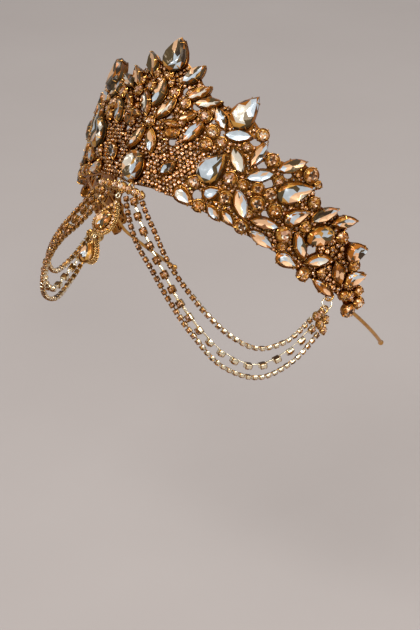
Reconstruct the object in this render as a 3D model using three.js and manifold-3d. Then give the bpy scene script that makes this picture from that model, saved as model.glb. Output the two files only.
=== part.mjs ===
// Bridal crown: an open tiara-shaped crown of soldered gilt metal set with
// faceted stones, with a three-strand drape of fine cup chain on each side and
// a two-stage pendant that lies on the forehead.
//
// Frame: millimetres, +Z up, the wearer faces -Y and the wearer's left is +X.
// The origin is the centre of the ellipse that the band wire follows, which is
// where the crown sits on a head.
import * as THREE from 'three';
import { mergeVertices } from 'three/addons/utils/BufferGeometryUtils.js';
import Module from 'manifold-3d';

const wasm = await Module();
wasm.setup();

// ---------------------------------------------------------------- driving dimensions
const BAND_HALF_WIDTH = 77;       // half axis of the band ellipse across the head
const BAND_HALF_LENGTH = 96.6;    // half axis of the band ellipse from front to back
const BAND_TILT = 42.3;           // degrees the band plane drops towards the back
const WALL_FLARE = 14;            // degrees the wall leans outwards from the band plane's normal
const WIRE_END = 175;             // length of band wire from the front centre to each foot
const WIRE_RADIUS = 0.9;
const FOOT_RADIUS = 1.4;
const PLATE_HALF = 0.7;           // half thickness of the soldered setting plates
const RIM = 0.7;                  // metal showing round each stone
const BAR_WIDTH = 1.5;            // solder bars between neighbouring settings
const BOSS_TOP = 2.2;             // how far the small set stones stand out of the wall
const BOSS_SMALLEST = 4.5;       // a set stone narrower than this is left flat
const SEAT_GAP = 0.3;             // clearance under and round each loose stone
const BEND_STEP = 15;             // longest edge along the band when plates are bent to the wall
const HEAD_HALF = { x: 75.7, y: 96.1, z: 93.2 };      // head form that the drapes lie on
const HEAD_CENTRE = { x: 0, y: -9.45, z: -10.29 };    // its centre in this frame
const SIDES = [['left', 1], ['right', -1]];           // wearer's left is +X
const CHAIN_RADIUS = { upper: 1.35, middle: 1.6, lower: 1.3 };   // outer size of each drape strand
const CHAIN_STEP = 7.5;           // spacing of the sections along a strand
const RING = { radius: 2.6, wire: 0.35 };              // side jump rings
const LUG = { radius: 2.0, wire: 0.5 };              // soldered eyes that the jump rings pass through

// ---------------------------------------------------------------- materials
const gilt = new THREE.MeshStandardMaterial({ color: 0xa8742c, roughness: 0.35, metalness: 0.9 });
const chain = new THREE.MeshStandardMaterial({ color: 0xb98b45, roughness: 0.3, metalness: 0.9 });
const champagne = new THREE.MeshStandardMaterial({ color: 0xd8c3a0, roughness: 0.08, metalness: 0.2 });

// ---------------------------------------------------------------- the wall surface
// along: distance along the band ellipse from the front centre, + to the wearer's left
// up: distance up the flared wall from the band; out: distance outwards from the wall
const rad = THREE.MathUtils.degToRad;
const DOWN_BACK = new THREE.Vector3(0, Math.cos(rad(BAND_TILT)), -Math.sin(rad(BAND_TILT)));
const UP_NORMAL = new THREE.Vector3(0, Math.sin(rad(BAND_TILT)), Math.cos(rad(BAND_TILT)));
const FLARE_SIN = Math.sin(rad(WALL_FLARE));
const FLARE_COS = Math.cos(rad(WALL_FLARE));

const ARC_STEPS = 3600;
const arcLength = [0];
for (let i = 1; i <= ARC_STEPS; i++) {
  const a = ((i - 0.5) / ARC_STEPS) * Math.PI;
  arcLength.push(arcLength[i - 1]
    + Math.hypot(BAND_HALF_WIDTH * Math.cos(a), BAND_HALF_LENGTH * Math.sin(a)) * Math.PI / ARC_STEPS);
}
function angleAt(along) {
  const want = Math.abs(along);
  let low = 0, high = ARC_STEPS;
  while (high - low > 1) {
    const mid = (low + high) >> 1;
    if (arcLength[mid] <= want) low = mid; else high = mid;
  }
  const part = (want - arcLength[low]) / (arcLength[high] - arcLength[low]);
  return Math.sign(along) * ((low + part) / ARC_STEPS) * Math.PI;
}
// The crest is set back a little: the wall stands straighter above a certain height.
const CREST_SET = { from: 34, over: 34, back: 3.6 };
function setBack(up) {
  const t = Math.min(1, Math.max(0, (up - CREST_SET.from) / CREST_SET.over));
  return CREST_SET.back * t * t * (3 - 2 * t);
}
function wallPoint(along, up, out) {
  const a = angleAt(along);
  const tx = BAND_HALF_WIDTH * Math.cos(a), tb = BAND_HALF_LENGTH * Math.sin(a);
  const len = Math.hypot(tx, tb);
  const nx = tb / len, nb = -tx / len;
  const lean = up * FLARE_SIN + out * FLARE_COS - setBack(up);
  return new THREE.Vector3(BAND_HALF_WIDTH * Math.sin(a) + nx * lean, 0, 0)
    .addScaledVector(DOWN_BACK, -BAND_HALF_LENGTH * Math.cos(a) + nb * lean)
    .addScaledVector(UP_NORMAL, up * FLARE_COS - out * FLARE_SIN);
}
function wallFrame(along, up, out) {
  const e = 0.05;
  const t = wallPoint(along + e, up, out).sub(wallPoint(along - e, up, out)).divideScalar(2 * e);
  const stretch = t.length();
  t.normalize();
  const v = wallPoint(along, up + e, out).sub(wallPoint(along, up - e, out)).normalize();
  const n = new THREE.Vector3().crossVectors(t, v);
  return { p: wallPoint(along, up, out), t, v, n, stretch };
}

// ---------------------------------------------------------------- stones
// Outlines are in the stone's own plane, long axis along the first coordinate,
// and a pear's point at its positive end.
const OUTLINES = {
  navette: (l, w) => [[1, 0], [0.55, 0.72], [0, 1], [-0.55, 0.72], [-1, 0], [-0.55, -0.72], [0, -1], [0.55, -0.72]]
    .map(([a, b]) => [a * l / 2, b * w / 2]),
  pear: (l, w) => [[1, 0], [0.42, 0.62], [-0.22, 1], [-0.72, 0.78], [-1, 0.28], [-1, -0.28], [-0.72, -0.78], [-0.22, -1], [0.42, -0.62]]
    .map(([a, b]) => [a * l / 2, b * w / 2]),
  oval: (l, w) => Array.from({ length: 8 }, (_, i) => [Math.cos((i + 0.5) * Math.PI / 4) * l / 2 * 1.04, Math.sin((i + 0.5) * Math.PI / 4) * w / 2 * 1.04]),
};

// Coarser outlines for the metal plates and raised settings.
const PLATE_OUTLINES = {
  navette: (l, w) => [[1, 0], [0.4, 0.9], [-0.4, 0.9], [-1, 0], [-0.4, -0.9], [0.4, -0.9]].map(([a, b]) => [a * l / 2, b * w / 2]),
  pear: (l, w) => [[1, 0], [0.05, 0.98], [-0.8, 0.8], [-1.02, 0], [-0.8, -0.8], [0.05, -0.98]].map(([a, b]) => [a * l / 2, b * w / 2]),
  oval: (l, w) => Array.from({ length: 6 }, (_, i) => [Math.cos(i * Math.PI / 3) * l / 2 * 1.05, Math.sin(i * Math.PI / 3) * w / 2 * 1.08]),
  round: (l, w) => Array.from({ length: 6 }, (_, i) => [Math.cos((i + 0.5) * Math.PI / 3) * l / 2 * 1.03, Math.sin((i + 0.5) * Math.PI / 3) * w / 2 * 1.03]),
};

// Large stones, each a piece of its own. turn: degrees from the band direction to
// the long axis, anticlockwise seen from outside; lift: extra height over the wall.
const MIDLINE_STONES = [
  { name: 'peak_pear', kind: 'pear', along: 0, up: 65.2, long: 16.6, wide: 12.6, turn: 90, lift: 0.6, deep: 4.2 },
  { name: 'sunburst_top_navette', kind: 'navette', along: 0, up: 45.4, long: 13.4, wide: 6.2, turn: 90, lift: 0.6, deep: 2.6 },
  { name: 'front_oval', kind: 'oval', along: 0, up: 9.6, long: 14.6, wide: 10.8, turn: 90, lift: 1.2, deep: 3.6 },
];
const PAIRED_STONES = [
  { name: 'top_navette_1', kind: 'navette', along: 10.9, up: 58.4, long: 13.2, wide: 6.4, turn: 56, lift: 0, deep: 2.8 },
  { name: 'top_navette_2', kind: 'navette', along: 16.7, up: 51.3, long: 12.4, wide: 5.4, turn: 48, lift: 0, deep: 2.8 },
  { name: 'top_navette_3', kind: 'navette', along: 21.8, up: 48.6, long: 13.6, wide: 5.4, turn: 25, lift: 0, deep: 2.8 },
  { name: 'top_navette_4', kind: 'navette', along: 29.1, up: 44.1, long: 11.6, wide: 5.3, turn: 137, lift: 0, deep: 2.8 },
  { name: 'crest_pear', kind: 'pear', along: 36.7, up: 52.4, long: 18.0, wide: 12.0, turn: 76, lift: 0.4, deep: 4.2 },
  { name: 'mid_navette_1', kind: 'navette', along: 21.0, up: 33.6, long: 13.0, wide: 5.6, turn: 65, lift: 0, deep: 2.8 },
  { name: 'mid_navette_2', kind: 'navette', along: 38.2, up: 40.6, long: 13.4, wide: 5.8, turn: 22, lift: 0, deep: 2.8 },
  { name: 'mid_navette_3', kind: 'navette', along: 42.2, up: 30.6, long: 13.0, wide: 6.2, turn: 136, lift: 0, deep: 2.8 },
  { name: 'mid_navette_4', kind: 'navette', along: 48.8, up: 37.4, long: 13.6, wide: 5.4, turn: 82, lift: 0, deep: 2.8 },
  { name: 'mid_navette_5', kind: 'navette', along: 53.2, up: 29.2, long: 14.0, wide: 5.6, turn: 38, lift: 0, deep: 2.8 },
  { name: 'mid_pear', kind: 'pear', along: 34.5, up: 23.0, long: 17.0, wide: 11.4, turn: 69, lift: 0.4, deep: 4.0 },
  { name: 'low_navette_1', kind: 'navette', along: 51.8, up: 13.8, long: 14.4, wide: 6.6, turn: 131, lift: 0, deep: 2.8 },
  { name: 'low_navette_2', kind: 'navette', along: 64.9, up: 11.6, long: 14.0, wide: 5.2, turn: 16, lift: 0, deep: 2.8 },
  { name: 'low_navette_3', kind: 'navette', along: 67.0, up: 4.6, long: 14.0, wide: 5.4, turn: -5, lift: 0, deep: 2.8 },
  { name: 'wing_navette_1', kind: 'navette', along: 62.5, up: 40.3, long: 14.4, wide: 6.2, turn: 45, lift: 0, deep: 2.8 },
  { name: 'wing_pear', kind: 'pear', along: 69.4, up: 31.2, long: 18.0, wide: 10.0, turn: 45, lift: 0.4, deep: 3.8 },
  { name: 'wing_navette_2', kind: 'navette', along: 85.5, up: 29.4, long: 14.4, wide: 5.6, turn: 55, lift: 0, deep: 2.8 },
  { name: 'wing_oval', kind: 'oval', along: 89.3, up: 20.3, long: 13.6, wide: 9.6, turn: 50, lift: 0.4, deep: 3.6 },
];

// Smaller stones: their settings and their own raised shapes are part of the soldered wall.
const MIDLINE_SET = [
  { kind: 'round', along: 0, up: 31.4, long: 5.0, wide: 5.0, turn: 0 },
  { kind: 'round', along: 0, up: 54.6, long: 4.2, wide: 4.2, turn: 0 },
];
const PAIRED_SET = [
  { kind: 'navette', along: 5.4, up: 39.4, long: 13.0, wide: 5.6, turn: 62 },
  { kind: 'navette', along: 3.9, up: 22.9, long: 12.2, wide: 5.4, turn: -70 },
  { kind: 'navette', along: 16.0, up: 38.9, long: 9.6, wide: 4.0, turn: 41 },
  { kind: 'navette', along: 10.6, up: 33.6, long: 10.0, wide: 4.0, turn: 6 },
  { kind: 'oval', along: 11.9, up: 29.6, long: 8.0, wide: 4.8, turn: 16 },
  { kind: 'navette', along: 16.3, up: 14.1, long: 9.0, wide: 5.2, turn: 58 },
  { kind: 'pear', along: 28.3, up: 5.0, long: 11.4, wide: 6.6, turn: -19 },
  { kind: 'pear', along: 38.9, up: 12.4, long: 9.6, wide: 6.0, turn: 43 },
  { kind: 'navette', along: 43.1, up: 4.6, long: 9.2, wide: 4.4, turn: -27 },
  { kind: 'navette', along: 49.6, up: 5.6, long: 9.0, wide: 4.4, turn: -24 },
  { kind: 'pear', along: 83.0, up: 2.4, long: 11.6, wide: 6.4, turn: 2 },
  { kind: 'navette', along: 105.8, up: 1.6, long: 15.0, wide: 4.6, turn: -5 },
  { kind: 'pear', along: 75.9, up: 21.9, long: 13.0, wide: 6.4, turn: 51 },
  { kind: 'navette', along: 95.3, up: 31.9, long: 13.4, wide: 5.6, turn: 35 },
  { kind: 'navette', along: 84.0, up: 11.6, long: 13.4, wide: 6.0, turn: 140 },
  { kind: 'navette', along: 95.4, up: 10.6, long: 12.6, wide: 5.6, turn: 41 },
  { kind: 'navette', along: 108.7, up: 11.2, long: 13.0, wide: 6.0, turn: 147 },
  { kind: 'pear', along: 109.4, up: 24.4, long: 11.6, wide: 9.6, turn: 43 },
  { kind: 'pear', along: 118.4, up: 14.4, long: 12.0, wide: 7.4, turn: 46 },
];
const PAIRED_ROUNDS = [
  { along: 22.9, up: 42.4, size: 5.6 }, { along: 28.2, up: 37.0, size: 5.6 }, { along: 27.9, up: 30.8, size: 5.6 },
  { along: 33.2, up: 34.4, size: 5.0 }, { along: 43.1, up: 37.8, size: 4.0 }, { along: 46.4, up: 46.0, size: 6.0 },
  { along: 54.6, up: 38.0, size: 6.4 }, { along: 42.8, up: 21.6, size: 6.6 }, { along: 30.0, up: 13.2, size: 5.8 },
  { along: 48.8, up: 21.8, size: 4.8 }, { along: 54.9, up: 23.6, size: 5.6 }, { along: 61.2, up: 24.0, size: 6.2 },
  { along: 57.9, up: 17.6, size: 6.6 }, { along: 44.9, up: 12.9, size: 6.2 }, { along: 65.9, up: 19.0, size: 6.2 },
  { along: 61.0, up: 31.4, size: 4.6 }, { along: 36.0, up: 4.4, size: 5.6 }, { along: 56.8, up: 5.2, size: 6.4 },
  { along: 93.6, up: 1.6, size: 6.4 }, { along: 71.3, up: 41.2, size: 7.2 }, { along: 78.8, up: 31.4, size: 5.6 },
  { along: 81.6, up: 19.8, size: 5.6 }, { along: 74.7, up: 11.8, size: 7.2 }, { along: 98.8, up: 25.6, size: 5.8 },
  { along: 113.5, up: 18.4, size: 5.6 }, { along: 100.6, up: 7.0, size: 4.4 }, { along: 122.4, up: 6.4, size: 4.4 },
  { along: 124.6, up: 10.6, size: 4.4 }, { along: 129.6, up: 6.4, size: 5.6 }, { along: 118.6, up: 4.6, size: 4.4 },
  { along: 127.2, up: 0.6, size: 6.8 }, { along: 12.6, up: 44.4, size: 5.2 }, { along: 6.2, up: 47.6, size: 4.8 },
];
// Fields closed by fine pave between the larger stones, as corners on the wall.
const PAVE_FIELD = [
  { along: 0, up: 1.5 }, { along: 13, up: 2.6 }, { along: 23, up: 4.6 }, { along: 30, up: 9.5 }, { along: 28, up: 18 },
  { along: 25, up: 26 }, { along: 17, up: 27 }, { along: 9.5, up: 24.5 }, { along: 5.5, up: 19 }, { along: 0, up: 19 },
];
const CREST_FIELD = [
  { along: 0, up: 47.5 }, { along: 6.5, up: 42 }, { along: 15, up: 40 }, { along: 19, up: 45 }, { along: 12.5, up: 50 },
  { along: 8, up: 57 }, { along: 0, up: 59.5 },
];

const mirrored = (row) => ({ ...row, along: -row.along, turn: 180 - row.turn });
const largeStones = MIDLINE_STONES.map((row) => ({ ...row }));
for (const row of PAIRED_STONES) {
  for (const [side, sign] of SIDES) largeStones.push({ ...(sign > 0 ? row : mirrored(row)), name: `${row.name}_${side}` });
}
const setStones = [...MIDLINE_SET];
for (const row of [...PAIRED_SET, ...PAIRED_ROUNDS.map((r) => ({ kind: 'round', along: r.along, up: r.up, long: r.size, wide: r.size, turn: 0 }))]) {
  setStones.push(row, mirrored(row));
}

// A stone's outline, grown by a margin, as points on the unrolled wall.
function outlineOnWall(stone, grow) {
  const { stretch } = wallFrame(stone.along, stone.up, 0);
  const c = Math.cos(rad(stone.turn)), s = Math.sin(rad(stone.turn));
  return PLATE_OUTLINES[stone.kind](stone.long + 2 * grow * (stone.kind === 'navette' ? 1.5 : 1.2), stone.wide + 2 * grow)
    .map(([a, b]) => new THREE.Vector2(stone.along + (a * c - b * s) / stretch, stone.up + a * s + b * c));
}

// ---------------------------------------------------------------- solids
function toSolid(geometry) {
  const g = geometry.index ? geometry.toNonIndexed() : geometry.clone();
  g.deleteAttribute('normal');
  g.deleteAttribute('uv');
  const merged = mergeVertices(g, 1e-5);
  return new wasm.Manifold(new wasm.Mesh({
    numProp: 3,
    vertProperties: new Float32Array(merged.attributes.position.array),
    triVerts: new Uint32Array(merged.index.array),
  }));
}
function toGeometry(solid) {
  const mesh = solid.getMesh();
  const pos = new Float32Array(mesh.numVert * 3);
  for (let i = 0; i < mesh.numVert; i++) {
    for (let k = 0; k < 3; k++) pos[3 * i + k] = mesh.vertProperties[i * mesh.numProp + k];
  }
  const g = new THREE.BufferGeometry();
  g.setAttribute('position', new THREE.BufferAttribute(pos, 3));
  g.setIndex(new THREE.BufferAttribute(new Uint32Array(mesh.triVerts), 1));
  return g;
}
function slab(points, low, high) {
  const g = new THREE.ExtrudeGeometry(new THREE.Shape(points), { depth: high - low, bevelEnabled: false, steps: 1 });
  g.translate(0, 0, low);
  return toSolid(g);
}
function unite(solids) {
  let list = solids;
  while (list.length > 1) {
    const next = [];
    for (let i = 0; i < list.length; i += 2) next.push(i + 1 < list.length ? list[i].add(list[i + 1]) : list[i]);
    list = next;
  }
  return list[0];
}
// Halves every edge that spans more than a given distance along the band, so that
// a flat plate bends smoothly when its corners are moved to the wall.
function splitLongEdges(geometry, longest) {
  const pos = Array.from(geometry.attributes.position.array);
  let tris = Array.from(geometry.index.array);
  for (let again = true; again;) {
    again = false;
    const cuts = new Map(), next = [];
    const cut = (a, b) => {
      if (Math.abs(pos[3 * a] - pos[3 * b]) <= longest) return -1;
      const key = a < b ? `${a}_${b}` : `${b}_${a}`;
      if (!cuts.has(key)) {
        cuts.set(key, pos.length / 3);
        for (let k = 0; k < 3; k++) pos.push((pos[3 * a + k] + pos[3 * b + k]) / 2);
      }
      return cuts.get(key);
    };
    for (let i = 0; i < tris.length; i += 3) {
      let [a, b, c] = [tris[i], tris[i + 1], tris[i + 2]];
      let [ab, bc, ca] = [cut(a, b), cut(b, c), cut(c, a)];
      const marked = (ab >= 0) + (bc >= 0) + (ca >= 0);
      if (marked) again = true;
      if (marked === 0) { next.push(a, b, c); continue; }
      if (marked === 3) { next.push(a, ab, ca, ab, b, bc, ca, bc, c, ab, bc, ca); continue; }
      // turn the corners round until the edge ab is cut and, with one cut, the others aren't
      while (!(marked === 1 ? ab >= 0 : ab >= 0 && bc >= 0)) [a, b, c, ab, bc, ca] = [b, c, a, bc, ca, ab];
      if (marked === 1) next.push(a, ab, c, ab, b, c);
      else next.push(ab, b, bc, a, ab, bc, a, bc, c);
    }
    tris = next;
  }
  const g = new THREE.BufferGeometry();
  g.setAttribute('position', new THREE.BufferAttribute(new Float32Array(pos), 3));
  g.setIndex(tris);
  return g;
}
function bendToWall(geometry) {
  const p = geometry.attributes.position;
  for (let i = 0; i < p.count; i++) {
    const w = wallPoint(p.getX(i), p.getY(i), p.getZ(i));
    p.setXYZ(i, w.x, w.y, w.z);
  }
  return geometry;
}
class BandCurve extends THREE.Curve {
  constructor(from, to, up, out) { super(); Object.assign(this, { from, to, up, out }); }
  getPoint(t) { return wallPoint(this.from + (this.to - this.from) * t, this.up, this.out); }
}
const circle = (radius, sides) => new THREE.Shape(Array.from({ length: sides }, (_, i) =>
  new THREE.Vector2(radius * Math.cos((2 * i + 1) * Math.PI / sides), radius * Math.sin((2 * i + 1) * Math.PI / sides))));
function sweep(curve, radius, steps, sides = 8) {
  return new THREE.ExtrudeGeometry(circle(radius, sides), { steps, bevelEnabled: false, extrudePath: curve });
}
function ball(radius, at) {
  const g = new THREE.SphereGeometry(radius, 8, 6);
  g.translate(at.x, at.y, at.z);
  return toSolid(g);
}
// A closed body through stacked copies of one outline: rows of height and scale.
function stack(outline, levels) {
  const n = outline.length, pos = [], idx = [];
  for (const { z, scale } of levels) for (const [a, b] of outline) pos.push(a * scale, b * scale, z);
  for (let l = 0; l + 1 < levels.length; l++) {
    for (let i = 0; i < n; i++) {
      const a = l * n + i, b = l * n + (i + 1) % n, c = a + n, d = b + n;
      idx.push(a, b, d, a, d, c);
    }
  }
  const top = (levels.length - 1) * n;
  for (let i = 1; i + 1 < n; i++) idx.push(0, i + 1, i, top, top + i, top + i + 1);
  const g = new THREE.BufferGeometry();
  g.setAttribute('position', new THREE.BufferAttribute(new Float32Array(pos), 3));
  g.setIndex(idx);
  return g;
}

const crown = new THREE.Group();
function addPiece(name, geometry, material, parent = crown) {
  const mesh = new THREE.Mesh(geometry, material);
  mesh.name = name;
  parent.add(mesh);
  return mesh;
}

// ---------------------------------------------------------------- crown_frame
// Solder bars: wherever the plates leave the wall in separate bodies, the two
// nearest settings of different bodies are joined by a bar, until it is all one.
function nearestJoin(bodies) {
  const owner = settings.map((s) => bodies.findIndex((body) => {
    const { min, max } = body.boundingBox();
    return s.along > min[0] && s.along < max[0] && s.up > min[1] && s.up < max[1]
      && !body.intersect(slab([[-0.2, -0.2], [0.2, -0.2], [0.2, 0.2], [-0.2, 0.2]].map(([a, b]) => new THREE.Vector2(s.along + a, s.up + b)), -0.1, 0.1)).isEmpty();
  }));
  let best = null;
  for (let i = 0; i < settings.length; i++) {
    for (let j = i + 1; j < settings.length; j++) {
      if (owner[i] === owner[j]) continue;
      const d = Math.hypot(settings[i].along - settings[j].along, settings[i].up - settings[j].up)
        - (settings[i].wide + settings[j].wide) / 2;
      if (!best || d < best.d - 1e-6) best = { d, i, j };
    }
  }
  return best;
}
function barOutline(a, b, width) {
  const d = new THREE.Vector2(b.along - a.along, b.up - a.up);
  const side = new THREE.Vector2(-d.y, d.x).normalize().multiplyScalar(width / 2);
  return [[a, 1], [b, 1], [b, -1], [a, -1]].map(([p, s]) => new THREE.Vector2(p.along + s * side.x, p.up + s * side.y)).reverse();
}
const fieldOutline = (rows) => [...rows, ...rows.slice(1, -1).reverse().map((r) => ({ along: -r.along, up: r.up }))]
  .map((r) => new THREE.Vector2(r.along, r.up));

const settings = [...largeStones, ...setStones];
const plates = settings.map((s) => slab(outlineOnWall(s, RIM), -PLATE_HALF, PLATE_HALF));
const fields = [PAVE_FIELD, CREST_FIELD].map((f) => slab(fieldOutline(f), -PLATE_HALF, PLATE_HALF));
let plateWall = unite([...plates, ...fields]);
for (let bodies = plateWall.decompose(); bodies.length > 1; bodies = plateWall.decompose()) {
  const { i, j } = nearestJoin(bodies);
  plateWall = plateWall.add(slab(barOutline(settings[i], settings[j], BAR_WIDTH), -PLATE_HALF, PLATE_HALF));
}
const raised = setStones.filter((s) => s.wide >= BOSS_SMALLEST);
const bosses = unite(raised.map((s) => slab(outlineOnWall(s, 0), 0, BOSS_TOP)));
const seats = unite(largeStones.map((s) => slab(outlineOnWall(s, SEAT_GAP + 0.15), PLATE_HALF, PLATE_HALF + 8)));
const flat = plateWall.add(bosses.subtract(seats));
const wall = toSolid(bendToWall(splitLongEdges(toGeometry(flat), BEND_STEP)));

const bandWire = toSolid(sweep(new BandCurve(-WIRE_END, WIRE_END, 1.2, -(PLATE_HALF + WIRE_RADIUS - 0.55)), WIRE_RADIUS, 52));
const feet = SIDES.map(([, sign]) => ball(FOOT_RADIUS, wallPoint(sign * WIRE_END, 1.2, -(PLATE_HALF + WIRE_RADIUS - 0.55))));
// Eyes for the side jump rings, on the band wire just ahead of the end stones.
const RING_CENTRE = new THREE.Vector3(75.6, -19.3, 13.2);
const RING_TO_BAND = new THREE.Vector3(-0.2, 0.72, 0.66).normalize();
const RING_TO_CHAIN = new THREE.Vector3(0.08, -0.69, -0.72).normalize();
const SIDE_OUT = new THREE.Vector3(0.985, 0.09, 0.14).normalize();
const mirrorX = (v, sign) => new THREE.Vector3(sign * v.x, v.y, v.z);
function torus(radius, wire, centre, axis, around = 12, section = 6) {
  const g = new THREE.TorusGeometry(radius, wire, section, around);
  g.applyQuaternion(new THREE.Quaternion().setFromUnitVectors(new THREE.Vector3(0, 0, 1), axis.clone().normalize()));
  g.translate(centre.x, centre.y, centre.z);
  return g;
}
const LUG_REACH = RING.radius + LUG.radius - LUG.wire - RING.wire - SEAT_GAP;
function eye(direction, sign) {
  const across = new THREE.Vector3().crossVectors(SIDE_OUT, direction);
  const at = RING_CENTRE.clone().addScaledVector(direction, LUG_REACH);
  return toSolid(torus(LUG.radius, LUG.wire, mirrorX(at, sign), mirrorX(across, sign), 10, 5));
}
const bandEyes = SIDES.map(([, sign]) => eye(RING_TO_BAND, sign));
const frameSolid = unite([wall, bandWire, ...feet, ...bandEyes]);
addPiece('crown_frame', toGeometry(frameSolid), gilt);

// ---------------------------------------------------------------- large stones
for (const s of largeStones) {
  const f = wallFrame(s.along, s.up, PLATE_HALF + SEAT_GAP + s.lift);
  const levels = [{ z: 0, scale: 0.84 }, { z: s.deep * 0.42, scale: 1 }, { z: s.deep, scale: 0.58 }];
  const mesh = addPiece(s.name, stack(OUTLINES[s.kind](s.long, s.wide), levels), champagne);
  const turn = new THREE.Matrix4().makeRotationZ(rad(s.turn));
  const m = new THREE.Matrix4().makeBasis(f.t, f.v, f.n).setPosition(f.p).multiply(turn);
  mesh.matrixAutoUpdate = true;
  m.decompose(mesh.position, mesh.quaternion, mesh.scale);
}

// ---------------------------------------------------------------- side drapes
// Each strand of fine cup chain lies on the head form. turn: degrees round from the
// front; rise: degrees up; clear: height over the head form. Rows run from the centre
// connector to the side ring.
const STRANDS = {
  upper: [
    { turn: 14.8, rise: 46.8, clear: 7.3 }, { turn: 23.6, rise: 39.6, clear: 3.9 }, { turn: 31.0, rise: 31.8, clear: 3.0 },
    { turn: 38.5, rise: 24.3, clear: 2.6 }, { turn: 45.5, rise: 17.1, clear: 2.6 }, { turn: 52.6, rise: 10.7, clear: 2.5 },
    { turn: 60.8, rise: 6.3, clear: 2.5 }, { turn: 69.9, rise: 6.9, clear: 2.5 }, { turn: 77.9, rise: 11.0, clear: 2.5 },
  ],
  middle: [
    { turn: 10.2, rise: 47.0, clear: 7.4 }, { turn: 20.2, rise: 38.2, clear: 3.7 }, { turn: 29.2, rise: 29.6, clear: 2.9 },
    { turn: 36.0, rise: 21.2, clear: 2.6 }, { turn: 43.2, rise: 12.7, clear: 2.5 }, { turn: 50.7, rise: 5.5, clear: 2.5 },
    { turn: 60.1, rise: 1.1, clear: 2.5 }, { turn: 70.1, rise: 3.4, clear: 2.5 }, { turn: 78.4, rise: 8.3, clear: 2.5 },
  ],
  lower: [
    { turn: 5.8, rise: 47.1, clear: 7.5 }, { turn: 16.4, rise: 36.9, clear: 3.5 }, { turn: 25.4, rise: 29.6, clear: 2.8 },
    { turn: 33.0, rise: 21.4, clear: 2.6 }, { turn: 40.6, rise: 12.4, clear: 2.5 }, { turn: 49.6, rise: 2.7, clear: 2.5 },
    { turn: 60.7, rise: -2.3, clear: 2.5 }, { turn: 71.1, rise: 0.2, clear: 2.5 }, { turn: 80.0, rise: 6.2, clear: 2.5 },
  ],
};
function headPoint(turn, rise, clear) {
  const t = rad(turn), r = rad(rise);
  return new THREE.Vector3(
    HEAD_CENTRE.x + (HEAD_HALF.x + clear) * Math.cos(r) * Math.sin(t),
    HEAD_CENTRE.y - (HEAD_HALF.y + clear) * Math.cos(r) * Math.cos(t),
    HEAD_CENTRE.z + (HEAD_HALF.z + clear) * Math.sin(r));
}
class StrandCurve extends THREE.Curve {
  constructor(rows, sign) {
    super();
    this.sign = sign;
    this.angles = new THREE.CatmullRomCurve3(rows.map((r) => new THREE.Vector3(r.turn, r.rise, r.clear)), false, 'catmullrom', 0.5);
  }
  getPoint(t) {
    const a = this.angles.getPoint(t);
    return mirrorX(headPoint(a.x, a.y, a.z), this.sign);
  }
}
for (const [side, sign] of SIDES) {
  for (const [which, rows] of Object.entries(STRANDS)) {
    const curve = new StrandCurve(rows, sign);
    addPiece(`${which}_chain_${side}`, sweep(curve, CHAIN_RADIUS[which], Math.round(curve.getLength() / CHAIN_STEP)), chain);
  }
}

// ---------------------------------------------------------------- flat metal pieces set with stones
// A flat piece lies in a plane given by its centre, its upward direction and its outward direction.
function plane(centre, up, out) {
  const n = out.clone().normalize();
  const v = up.clone().addScaledVector(n, -up.dot(n)).normalize();
  const t = new THREE.Vector3().crossVectors(v, n);
  return new THREE.Matrix4().makeBasis(t, v, n).setPosition(centre);
}
function place(mesh, matrix) {
  matrix.decompose(mesh.position, mesh.quaternion, mesh.scale);
  return mesh;
}
const disc = (x, y, r, sides = 8) => Array.from({ length: sides }, (_, i) =>
  new THREE.Vector2(x + r * Math.cos((2 * i + 1) * Math.PI / sides), y + r * Math.sin((2 * i + 1) * Math.PI / sides)));
const bar = (a, b, width) => barOutline({ along: a.x, up: a.y }, { along: b.x, up: b.y }, width);

// centre_connector: a bar of small cups across the forehead, hung from the front of the band
const CONNECTOR_CUPS = [
  { x: 0, y: 0.2, r: 2.6 }, { x: 4.5, y: 0.2, r: 1.9 }, { x: 8.7, y: -0.2, r: 1.9 }, { x: 12.7, y: -0.7, r: 1.9 },
  { x: -4.5, y: 0.2, r: 1.9 }, { x: -8.7, y: -0.2, r: 1.9 }, { x: -12.7, y: -0.7, r: 1.9 },
];
const CONNECTOR_THICK = 2.2;
const CONNECTOR_EYE = { radius: 1.5, wire: 0.4, x: 3.4, y: 2.6, z: -1.2 };
const connectorPlane = plane(new THREE.Vector3(0, -76.4, 65.9), new THREE.Vector3(0, 0.67, 0.74), new THREE.Vector3(0, -0.74, 0.67));
{
  const cups = CONNECTOR_CUPS.map((c) => slab(disc(c.x, c.y, c.r), -CONNECTOR_THICK / 2, CONNECTOR_THICK / 2));
  const links = [-1, 1].flatMap((s) => [[0, 4.5], [4.5, 8.7], [8.7, 12.7]].map(([a, b]) =>
    slab(bar({ x: s * a, y: 0 }, { x: s * b, y: -0.2 }, 1.4), -0.6, 0.6)));
  const eyes = [-1, 1].map((s) => toSolid(torus(CONNECTOR_EYE.radius, CONNECTOR_EYE.wire,
    new THREE.Vector3(s * CONNECTOR_EYE.x, CONNECTOR_EYE.y, CONNECTOR_EYE.z), new THREE.Vector3(1, 0, 0), 10, 5)));
  place(addPiece('centre_connector', toGeometry(unite([...cups, ...links, ...eyes])), gilt), connectorPlane);
}

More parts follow.
